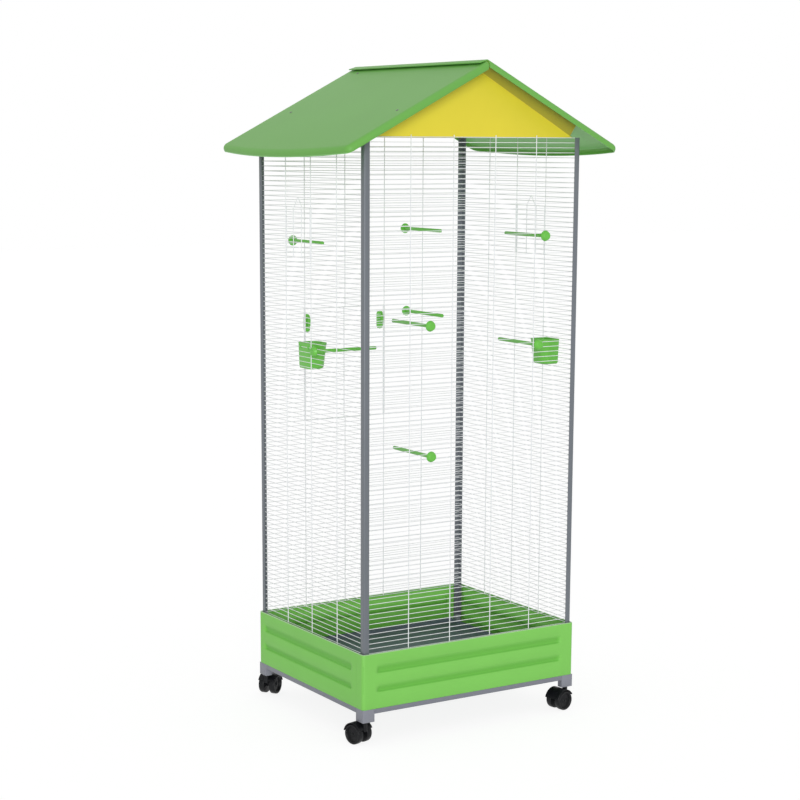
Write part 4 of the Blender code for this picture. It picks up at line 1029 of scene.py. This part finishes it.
def skirt_shapes(path, groove_span, bottom, foot_width=0.0, foot_rise=0.0, foot_span=None, flip=False):
    """A pressed sheet: point - outward (depth along-share height-share) at each height.

    The share along is a smooth step, and the share of the height is a smooth step at a groove's lower
    side and the eased slope of its brow. The hem is a quarter circle and a fold, and the foot is folded
    under the lower edge."""
    points, outward = path
    heights = [bottom]
    for low, high in GROOVES:
        if low > bottom:
            heights += list(np.linspace(low, low + GROOVE_SLOPE, SLOPE_POINTS))
            heights += list(np.linspace(high - GROOVE_BROW, high, BROW_POINTS))
    heights += [SKIRT_TOP - HEM_ROUND]
    heights = np.array(heights)
    press_up = sum(smooth_step(heights, low, low + GROOVE_SLOPE) * eased((high - heights) / GROOVE_BROW)
                   for low, high in GROOVES)
    axis, start, end = groove_span
    along = points[:, axis]
    press_along = smooth_step(along, start, start + GROOVE_RAMP)
    press_along = press_along * (1 - smooth_step(along, end - GROOVE_RAMP, end))
    press_along = press_along * (np.abs(outward[:, axis]) < BENT_SHARE)
    inset = GROOVE_DEPTH * press_up[:, None] * press_along[None, :]
    flat = points[None] - outward[None] * inset[:, :, None]
    rows = np.concatenate([flat, np.broadcast_to(heights[:, None, None], (*inset.shape, 1))], -1)
    bend = np.radians(np.linspace(0, 90, HEM_POINTS))[1:]
    hem = [(HEM_ROUND * (1 - math.cos(a)), SKIRT_TOP - HEM_ROUND * (1 - math.sin(a))) for a in bend]
    hem.append((SKIRT_HEM, SKIRT_TOP))
    hem_rows = [np.column_stack([points - outward * inwards, np.full(len(points), height)])
                for inwards, height in hem]
    sheet = np.concatenate([rows, np.stack(hem_rows)])
    shapes = [(sheet.reshape(-1, 3), lattice(len(sheet), len(points)))]
    if foot_width:
        axis, start, end = foot_span
        chosen = (points[:, axis] > start) & (points[:, axis] < end)
        chosen = chosen & (np.abs(outward[:, axis]) < BENT_SHARE)
        foot = points[chosen]
        away = outward[chosen]
        folds = [(0.0, bottom), (foot_width, bottom)]
        if foot_rise:
            folds.append((foot_width, bottom + foot_rise))
        strip = np.stack([np.column_stack([foot - away * inwards, np.full(len(foot), height)])
                          for inwards, height in folds])
        faces = [face[::-1] for face in lattice(len(strip), len(foot))]
        shapes.append((strip.reshape(-1, 3), faces))
    if flip:
        shapes = [(cloud, [face[::-1] for face in faces]) for cloud, faces in shapes]
    return shapes


def make_skirts():
    """The front skirt wraps round both corners, the side ones round the rear corners, and the rear one
    stands between those."""
    r = SKIRT_RADIUS
    seam = SKIRT_Y - FRONT_WRAP
    wrap = SKIRT_X - REAR_WRAP
    foot = SKIRT_X - FOOT_END
    corners = [((-SKIRT_X, -seam), (-SKIRT_X, -SKIRT_Y + r), (-1, 0)),
               ((-SKIRT_X + r, -SKIRT_Y), (SKIRT_X - r, -SKIRT_Y), (0, -1)),
               ((SKIRT_X, -SKIRT_Y + r), (SKIRT_X, -seam), (1, 0))]
    wraps = [((-SKIRT_X + r, -SKIRT_Y + r), 180, 270), ((SKIRT_X - r, -SKIRT_Y + r), 270, 360)]
    end = SKIRT_X - GROOVE_END_FRONT
    sheets = {"front": skirt_shapes(skirt_path(corners, wraps), (0, -end, end), SKIRT_BOTTOM, FOOT_WIDTH,
                                    foot_span=(0, -foot, foot))}
    for side, sign in (("left", -1), ("right", 1)):
        centre = (sign * (SKIRT_X - r), SKIRT_Y - r)
        corners = [((sign * SKIRT_X, -seam + CLEARANCE), (sign * SKIRT_X, SKIRT_Y - r), (sign, 0)),
                   ((sign * (SKIRT_X - r), SKIRT_Y), (sign * wrap, SKIRT_Y), (0, 1))]
        wraps = [(centre, 0, 90) if sign > 0 else (centre, 180, 90)]
        span = (1, -seam + GROOVE_END_SIDE, SKIRT_Y - GROOVE_END_SIDE)
        sheets[side] = skirt_shapes(skirt_path(corners, wraps), span, SKIRT_BOTTOM, RUNNER_WIDTH,
                                    RUNNER_HEIGHT, (1, -seam, SKIRT_Y - FOOT_END), flip=sign < 0)
    edge = wrap - CLEARANCE
    end = edge - GROOVE_END_REAR
    path = skirt_path([((edge, SKIRT_Y), (-edge, SKIRT_Y), (0, 1))], [])
    sheets["rear"] = skirt_shapes(path, (0, -end, end), PAN_LIP_TOP + CLEARANCE)
    for side, shapes in sheets.items():
        add_piece("skirt_panel_" + side, shapes, "green_sheet", "cage_frame", ("skirt_" + side,),
                  wall=SKIRT_SHEET, edge=SHEET_EDGE)


def rounded_rectangle(x0, x1, y0, y1, radius, steps):
    """A rectangle with quarter-circle corners."""
    return np.concatenate([arc(x0 + radius, y0 + radius, radius, 180, 270, steps),
                           arc(x1 - radius, y0 + radius, radius, 270, 360, steps),
                           arc(x1 - radius, y1 - radius, radius, 0, 90, steps),
                           arc(x0 + radius, y1 - radius, radius, 90, 180, steps)])


def make_pan():
    """A shallow pan: rounded rectangles that shrink round the bend into its floor, and a rear lip."""
    bottom = SKIRT_BOTTOM + RUNNER_HEIGHT + CLEARANCE
    rear = SKIRT_Y - SKIRT_SHEET / 2
    steps = [(bottom + PAN_DEPTH, 0.0), (bottom + PAN_BEND, PAN_TAPER_LOW)]
    steps += [(bottom + PAN_BEND * (1 - math.sin(a)), PAN_TAPER_LOW + PAN_BEND * (1 - math.cos(a)))
              for a in np.radians(PAN_BEND_ANGLES)]
    rings = []
    for height, inset in steps:
        ring = rounded_rectangle(-PAN_HALF_X + inset, PAN_HALF_X - inset, -PAN_FRONT + inset,
                                 rear - min(inset, PAN_TAPER), PAN_RADIUS, PAN_CORNER_STEPS)
        rings.append(np.column_stack([ring, np.full(len(ring), height)]))
    points, faces = lofted(rings, cap_first=False)
    add_piece("pan_tray", [(points, [face[::-1] for face in faces])], "dark_pan", "litter_pan",
              ("litter_pan",), wall=PAN_SHEET, edge=SHEET_EDGE)
    lip = SKIRT_X - REAR_WRAP - CLEARANCE
    add_piece("pan_lip", [box(-lip, lip, SKIRT_Y - SKIRT_SHEET, SKIRT_Y, SKIRT_BOTTOM, PAN_LIP_TOP)],
              "dark_pan", "litter_pan", edge=SHEET_EDGE)


def caster_shapes():
    """The hood of a caster, with its stem on Z and its axle along Y, and a wheel turned round Z."""
    half = (WHEEL_SPACING + WHEEL_WIDTH) / 2
    inner = WHEEL_RADIUS + FENDER_GAP
    outer = inner + FENDER_WALL
    c = FENDER_EDGE
    section = [(inner, -half + c), (inner, half - c), (inner + c, half), (outer - c, half),
               (outer, half - c), (outer, -half + c), (outer - c, -half), (inner + c, -half)]
    sweep = np.radians(np.linspace(*FENDER_SWEEP, FENDER_POINTS))
    rings = [[(TRAIL + r * math.cos(a), y, WHEEL_RADIUS + r * math.sin(a)) for r, y in section]
             for a in sweep]
    fin = np.concatenate([arc(TRAIL, WHEEL_RADIUS, inner + FENDER_WALL / 2, *SPINE_SWEEP),
                          arc(TRAIL, WHEEL_RADIUS, SPINE_FOOT, *SPINE_FOOT_SWEEP)])
    spine = changed(extruded(fin, -SPINE_WIDTH / 2, SPINE_WIDTH / 2), STAND_UP)
    boss = turned([(0, STEM_TOP), (STEM_RADIUS - BOSS_EDGE, STEM_TOP), (STEM_RADIUS, STEM_TOP - BOSS_EDGE),
                   (STEM_RADIUS, BOSS_TOP), (BOSS_RADIUS - BOSS_EDGE, BOSS_TOP),
                   (BOSS_RADIUS, BOSS_TOP - BOSS_EDGE), (BOSS_RADIUS, BOSS_BOTTOM), (0, BOSS_BOTTOM)],
                  BOSS_SIDES)
    axle = round_bars((TRAIL, SINK - half, WHEEL_RADIUS), (TRAIL, half - SINK, WHEEL_RADIUS),
                      AXLE_RADIUS, AXLE_SIDES)
    w = WHEEL_WIDTH / 2
    bore = AXLE_RADIUS + CLEARANCE
    hub = [(bore + out, w * share) for out, share in WHEEL_HUB]
    dish = [(WHEEL_RADIUS * far, w * share) for far, share in WHEEL_DISH]
    wheel = turned(hub + dish + [(bore, -w)], WHEEL_SIDES, closed=True)
    return [lofted(rings), spine, boss, axle], wheel


def make_casters():
    """Two dished wheels under a fender, on a swivelling stem, at each corner."""
    hood, wheel = caster_shapes()
    for name, heading in CASTER_TURN.items():
        turn = turn_z(math.radians(heading))
        sx = 1 if name.endswith("right") else -1
        sy = -1 if name.startswith("front") else 1
        stem = (sx * (SKIRT_X - STEM_INSET), sy * (SKIRT_Y - STEM_INSET), 0)
        add_piece("hood_" + name, [changed(shape, turn, stem) for shape in hood], "black_plastic",
                  "caster_" + name, ("caster_hood_" + name,), smooth=SMOOTH_TURNED)
        for letter, sign in (("a", 1), ("b", -1)):
            roll = np.array([(1, 0, 0), (0, 0, sign), (0, -sign, 0)], float)
            offset = turn @ np.array([TRAIL, sign * WHEEL_SPACING / 2, WHEEL_RADIUS])
            add_piece(f"tread_{name}_{letter}", [changed(wheel, turn @ roll, offset + stem)],
                      "black_plastic", f"wheel_{name}_{letter}", (f"caster_wheel_{name}_{letter}",),
                      smooth=SMOOTH_TURNED)


# Roof

def left_ridge():
    """The left panel's ridge lies one sheet lower, under the right panel's lap."""
    return RIDGE_TOP - (ROOF_SHEET + CLEARANCE) * math.sqrt(1 + ROOF_SLOPE ** 2)


def roof_outline():
    """The edge of a panel in its own plane: place down the slope, place along the ridge, and the two
    parts of the outward direction. Two small arcs meet the eave's long arc without a kink."""
    angle = math.atan(ROOF_SLOPE)
    bow = EAVE_BOW / math.cos(angle)
    eave = (EAVE_MID_X + ROOF_ROUND * math.sin(angle)) / math.cos(angle)
    big = (ROOF_HALF_Y ** 2 + bow ** 2) / (2 * bow)
    centre = eave - big
    small = ROOF_CORNER
    side = ROOF_HALF_Y - small
    corner = centre + math.sqrt((big - small) ** 2 - side ** 2)
    swing = math.degrees(math.asin(side / (big - small)))
    first = np.radians(np.linspace(-90, -swing, ROOF_CORNER_POINTS))
    middle = np.radians(np.linspace(-swing, swing, EAVE_POINTS))[1:-1]
    last = np.radians(np.linspace(swing, 90, ROOF_CORNER_POINTS))
    near = np.column_stack([corner + small * np.cos(first), -side + small * np.sin(first)])
    long = np.column_stack([centre + big * np.cos(middle), big * np.sin(middle)])
    far = np.column_stack([corner + small * np.cos(last), side + small * np.sin(last)])
    every = np.concatenate([first, middle, last])
    return np.concatenate([near, long, far]), np.column_stack([np.cos(every), np.sin(every)])


def make_roof_panel(name, sign, ridge, start, lap):
    """A sloping sheet whose edge turns down in a quarter circle: at each step of the bend the outline
    moves in by r (1 - sin a) and down by r (1 - cos a), square to the sheet. A lap is a strip past the
    ridge, lifted off the other panel at its edge."""
    angle = math.atan(ROOF_SLOPE)
    cos = math.cos(angle)
    sin = math.sin(angle)
    edge, away = roof_outline()
    bend = np.radians(np.linspace(0, 90, ROOF_BEND_POINTS))
    steps = [(ROOF_ROUND + ROOF_FLAT, 0.0)]
    steps += [(ROOF_ROUND * (1 - math.sin(a)), ROOF_ROUND * (1 - math.cos(a))) for a in bend]
    steps.append((0.0, ROOF_RIM))
    rows = []
    for inset, drop in steps:
        top = (start + drop * sin) / cos
        reach = ROOF_HALF_Y - inset
        place = np.concatenate([[(top, -reach)], edge - inset * away, [(top, reach)]])
        rows.append(np.column_stack([sign * (place[:, 0] * cos - drop * sin), place[:, 1],
                                     ridge - place[:, 0] * sin - drop * cos]))
    rows = np.stack(rows)
    count = rows.shape[1]
    faces = lattice(len(rows), count) + [list(range(count))[::-1]]
    if sign > 0:
        faces = [face[::-1] for face in faces]
    points = rows.reshape(-1, 3)
    if lap:
        fall = np.array([-sign * cos, 0, -sin]) * lap + (0, 0, LAP_LIFT)
        front = count
        back = 2 * count - 1
        points = np.concatenate([points, [points[back] + fall, points[front] + fall]])
        faces.append([front, 0, count - 1, back, len(points) - 2, len(points) - 1])
    add_piece(name, [(points, faces)], "roof_green", "cage_frame",
              (name.replace("roof_cover", "roof_panel"),), wall=ROOF_SHEET, edge=ROOF_EDGE)


def make_screw(place, facing):
    """A low round head that faces outward from a surface."""
    head = turned([(SCREW_RADIUS * share, height) for share, height in SCREW_HEAD], SCREW_SIDES)
    normal = unit(np.asarray(facing, float))
    across = unit(np.cross(SCREW_ACROSS, normal))
    matrix = np.column_stack([across, np.cross(normal, across), normal])
    return changed(head, matrix, place)


def make_roof_screws():
    """Screws through the roof into the gable flanges, their heads on the panels."""
    slope = math.sqrt(1 + ROOF_SLOPE ** 2)
    shapes = []
    for sign, ridge in ((-1, left_ridge()), (1, RIDGE_TOP)):
        normal = np.array([sign * ROOF_SLOPE, 0, 1]) / slope
        for x, y in ROOF_SCREWS:
            shapes.append(make_screw((sign * x, y, ridge - ROOF_SLOPE * x), normal))
        for x in FLANGE_SCREWS:
            under = ridge - ROOF_SLOPE * x - FLANGE_UNDER * slope
            for y in (-FLANGE_SCREW_Y, FLANGE_SCREW_Y):
                shapes.append(make_screw((sign * x, y, under), -normal))
    add_piece("roof_screws", shapes, "steel_screw", "cage_frame")


# Perches and feeders

def make_perch(key):
    """A fluted rod, radius r - f (1 - cos 6a) / 2, with its bolt, and a round cap outside the grid."""
    side, place, row, length = PERCHES[key]
    layers = LAYERS[side]
    origin = (place, gap_height(row), 0)
    seat = layers.rung_in - CLEARANCE
    cap_low = layers.rung_out + CLEARANCE
    bolt_end = cap_low + CAP_THICK - CAP_WALL - CLEARANCE
    angle = math.tau * np.arange(PERCH_SIDES) / PERCH_SIDES
    fluted = PERCH_RADIUS - PERCH_FLUTE * (1 - np.cos(PERCH_FLUTES * angle)) / 2
    plain_bolt = np.full(PERCH_SIDES, PERCH_BOLT)
    sections = [(seat - length + rise, fluted * share) for rise, share in PERCH_TIP]
    sections += [(seat, fluted), (seat, plain_bolt), (bolt_end, plain_bolt)]
    rings = [np.column_stack([radius * np.cos(angle), radius * np.sin(angle), np.full(PERCH_SIDES, height)])
             for height, radius in sections]
    add_piece("perch_" + key, [on_side(lofted(rings), side, origin)], "green_plastic", "cage_frame",
              ("perch_rod_" + key,), smooth=SMOOTH_MOULDED)
    bore = PERCH_BOLT + CLEARANCE
    inner = CAP_RADIUS - CAP_WALL
    low, high = CAP_DISH_SHARES
    profile = [(0, CAP_THICK - CAP_DISH), (inner * low, CAP_THICK - CAP_DISH), (inner * high, CAP_THICK),
               (inner - CAP_BEVEL[0], CAP_THICK), (inner, CAP_THICK - CAP_BEVEL[1])]
    profile += [(CAP_RADIUS - inwards, height) for inwards, height in CAP_SIDE]
    profile += [(bore, 0), (bore, CAP_THICK - CAP_WALL), (0, CAP_THICK - CAP_WALL)]
    cap = on_side(turned(profile, CAP_SIDES), side, origin + np.array([0, 0, cap_low]))
    add_piece("cap_" + key, [cap], "green_plastic", "perch_cap_" + key, ("perch_cap_" + key,),
              smooth=SMOOTH_TURNED)


def make_feeder(side):
    """An open cup with a round front: plan outlines scaled towards the back as they go down."""
    layers = LAYERS[side]
    back = layers.rung_in - CLEARANCE
    front = back - FEEDER_DEPTH
    hook_low = rung_height(FEEDER_ROW) + RUNG / 2 + CLEARANCE
    rim = hook_low + FEEDER_RIM
    low = rim - FEEDER_HEIGHT
    w = FEEDER_WIDTH / 2
    nose = FEEDER_NOSE
    corner = FEEDER_CORNER
    plan = np.concatenate([arc(w - corner, back - corner, corner, 90, 0, FEEDER_CORNER_STEPS),
                           arc(w - nose, front + nose, nose, 0, -90, FEEDER_NOSE_STEPS),
                           arc(-w + nose, front + nose, nose, -90, -180, FEEDER_NOSE_STEPS),
                           arc(-w + corner, back - corner, corner, 180, 90, FEEDER_CORNER_STEPS)])
    foot = FEEDER_TAPER + (1 - FEEDER_TAPER) * FEEDER_BEND / FEEDER_HEIGHT
    steps = [(rim - depth, scale) for depth, scale in FEEDER_LIP]
    steps += [(low + FEEDER_BEND * (1 - math.sin(a)), foot - FEEDER_FLOOR * (1 - math.cos(a)))
              for a in np.radians(FEEDER_BEND_ANGLES)]
    rings = [np.column_stack([plan[:, 0] * scale, np.full(len(plan), height),
                              back + (plan[:, 1] - back) * scale]) for height, scale in steps]
    origin = (FEEDERS[side], 0, 0)
    body = "feeder_cup_" + side
    add_piece("cup_" + side, [on_side(lofted(rings, cap_first=False), side, origin)], "green_plastic", body,
              (body,), wall=FEEDER_WALL, edge=FEEDER_EDGE, smooth=SMOOTH_MOULDED)
    outer = layers.rung_out + CLEARANCE
    inner = back - FEEDER_WALL / 2
    outline = [(inner, hook_low), (outer, hook_low), (outer, hook_low - FEEDER_HOOK_DROP),
               (outer + FEEDER_HOOK, hook_low - FEEDER_HOOK_DROP),
               (outer + FEEDER_HOOK, hook_low + FEEDER_HOOK), (inner, hook_low + FEEDER_HOOK)]
    hook = changed(extruded(outline, -FEEDER_HOOK_WIDTH / 2, FEEDER_HOOK_WIDTH / 2), SWAP_X_Z)
    hooks = [on_side(hook, side, (FEEDERS[side] + sign * FEEDER_HOOK_APART / 2, 0, 0)) for sign in (-1, 1)]
    add_piece("cup_hooks_" + side, hooks, "green_plastic", body, edge=FEEDER_EDGE)


# Studio

def make_camera():
    """The photograph's own viewpoint, with its axis off the image's middle."""
    sight = bpy.data.cameras.new("camera")
    sight.sensor_width = SENSOR
    sight.lens = FOCAL_PIXELS / IMAGE_SIDE * SENSOR
    sight.shift_x = -(AXIS_PIXEL[0] - IMAGE_SIDE / 2) / IMAGE_SIDE
    sight.shift_y = (AXIS_PIXEL[1] - IMAGE_SIDE / 2) / IMAGE_SIDE
    sight.clip_end = CAMERA_REACH
    camera = bpy.data.objects.new("camera", sight)
    bpy.context.scene.collection.objects.link(camera)
    level = math.cos(CAMERA_ELEVATION)
    back = np.array([math.sin(CAMERA_AZIMUTH) * level, -math.cos(CAMERA_AZIMUTH) * level,
                     math.sin(CAMERA_ELEVATION)])
    right = unit(np.cross(-back, (0, 0, 1)))
    up = np.cross(right, -back)
    rolled_right = right * math.cos(CAMERA_ROLL) + up * math.sin(CAMERA_ROLL)
    rolled_up = -right * math.sin(CAMERA_ROLL) + up * math.cos(CAMERA_ROLL)
    pose = np.eye(4)
    pose[:3, 0] = rolled_right
    pose[:3, 1] = rolled_up
    pose[:3, 2] = back
    pose[:3, 3] = CAMERA_PLACE
    camera.matrix_world = pose.T
    bpy.context.scene.camera = camera


def seen_directly(tree):
    """1 for rays from the camera, from gloss or through glass, and 0 for the rest."""
    path = tree.nodes.new("ShaderNodeLightPath")
    either = math_node(tree, "MAXIMUM", path.outputs["Is Camera Ray"], path.outputs["Is Glossy Ray"])
    return math_node(tree, "MAXIMUM", either, path.outputs["Is Transmission Ray"])


def make_world():
    """A white world that the camera sees at full strength, and that lights at a lower level."""
    world = bpy.data.worlds.new("studio")
    bpy.context.scene.world = world
    world.use_nodes = True
    tree = world.node_tree
    tree.nodes.clear()
    direct = seen_directly(tree)
    light = add_node(tree, "ShaderNodeBackground", values={"Color": (1, 1, 1, 1)})
    level = math_node(tree, "ADD", math_node(tree, "MULTIPLY", direct, 1.0 - WORLD_LEVEL), WORLD_LEVEL)
    tree.links.new(level, light.inputs["Strength"])
    end = tree.nodes.new("ShaderNodeOutputWorld")
    tree.links.new(light.outputs[0], end.inputs[0])


def make_key_light():
    """A low, wide sun from the front left."""
    lamp = bpy.data.lights.new("key", "SUN")
    lamp.energy = KEY_LEVEL
    lamp.angle = KEY_SPREAD
    key = bpy.data.objects.new("key", lamp)
    key.rotation_euler = (math.pi / 2 - KEY_ELEVATION, 0, KEY_AZIMUTH)
    bpy.context.scene.collection.objects.link(key)


def make_floor():
    """A pale floor that shows white but keeps the cage's shadow, and throws back plain light."""
    mesh = bpy.data.meshes.new("floor")
    corners = FLOOR_REACH * np.array([(-1, -1, 0), (1, -1, 0), (1, 1, 0), (-1, 1, 0)])
    mesh.from_pydata(corners.tolist(), [], [(0, 1, 2, 3)])
    paint = bpy.data.materials.new("pale_floor")
    paint.use_nodes = True
    tree = paint.node_tree
    tree.nodes.clear()
    shade = add_node(tree, "ShaderNodeBsdfDiffuse", values={"Color": (FLOOR_SHADE,) * 3 + (1,)})
    bounce = add_node(tree, "ShaderNodeBsdfDiffuse", values={"Color": (FLOOR_BOUNCE,) * 3 + (1,)})
    glow = add_node(tree, "ShaderNodeEmission", values={"Color": (1, 1, 1, 1), "Strength": FLOOR_GLOW})
    both = tree.nodes.new("ShaderNodeAddShader")
    tree.links.new(shade.outputs[0], both.inputs[0])
    tree.links.new(glow.outputs[0], both.inputs[1])
    choice = tree.nodes.new("ShaderNodeMixShader")
    tree.links.new(seen_directly(tree), choice.inputs[0])
    tree.links.new(bounce.outputs[0], choice.inputs[1])
    tree.links.new(both.outputs[0], choice.inputs[2])
    end = tree.nodes.new("ShaderNodeOutputMaterial")
    tree.links.new(choice.outputs[0], end.inputs[0])
    mesh.materials.append(paint)
    floor = bpy.data.objects.new("floor", mesh)
    bpy.context.scene.collection.objects.link(floor)


def main():
    """The studio first, then every piece of the cage."""
    make_camera()
    make_world()
    make_key_light()
    make_floor()
    bpy.context.scene.view_settings.view_transform = "Standard"
    corners = {"front_left": (-1, -1), "front_right": (1, -1), "rear_left": (-1, 1), "rear_right": (1, 1)}
    for side in SIDE_TURN:
        make_grid(side)
        add_soft_copy("rail_" + side, "base_rail_" + side, "grey_rail", "cage_frame", RAIL_EDGE)
    for side in LIFT_CELL:
        make_lift_door(side)
    make_service_door()
    make_latch("door_latch_right", -1)
    make_latch("door_latch_left", 1)
    for name, (sx, sy) in corners.items():
        make_post(name, sx, sy)
        add_soft_copy("socket_" + name, "corner_socket_" + name, "grey_socket", "cage_frame", SOCKET_EDGE)
    make_skirts()
    make_pan()
    make_casters()
    make_roof_panel("roof_cover_right", 1, RIDGE_TOP, 0.0, RIDGE_LAP)
    make_roof_panel("roof_cover_left", -1, left_ridge(), RIDGE_GAP, 0.0)
    make_roof_screws()
    for end in ("front", "rear"):
        add_soft_copy("gable_sheet_" + end, "gable_" + end, "yellow_sheet", "cage_frame", GABLE_EDGE)
    for key in PERCHES:
        make_perch(key)
    for side in FEEDERS:
        make_feeder(side)


main()
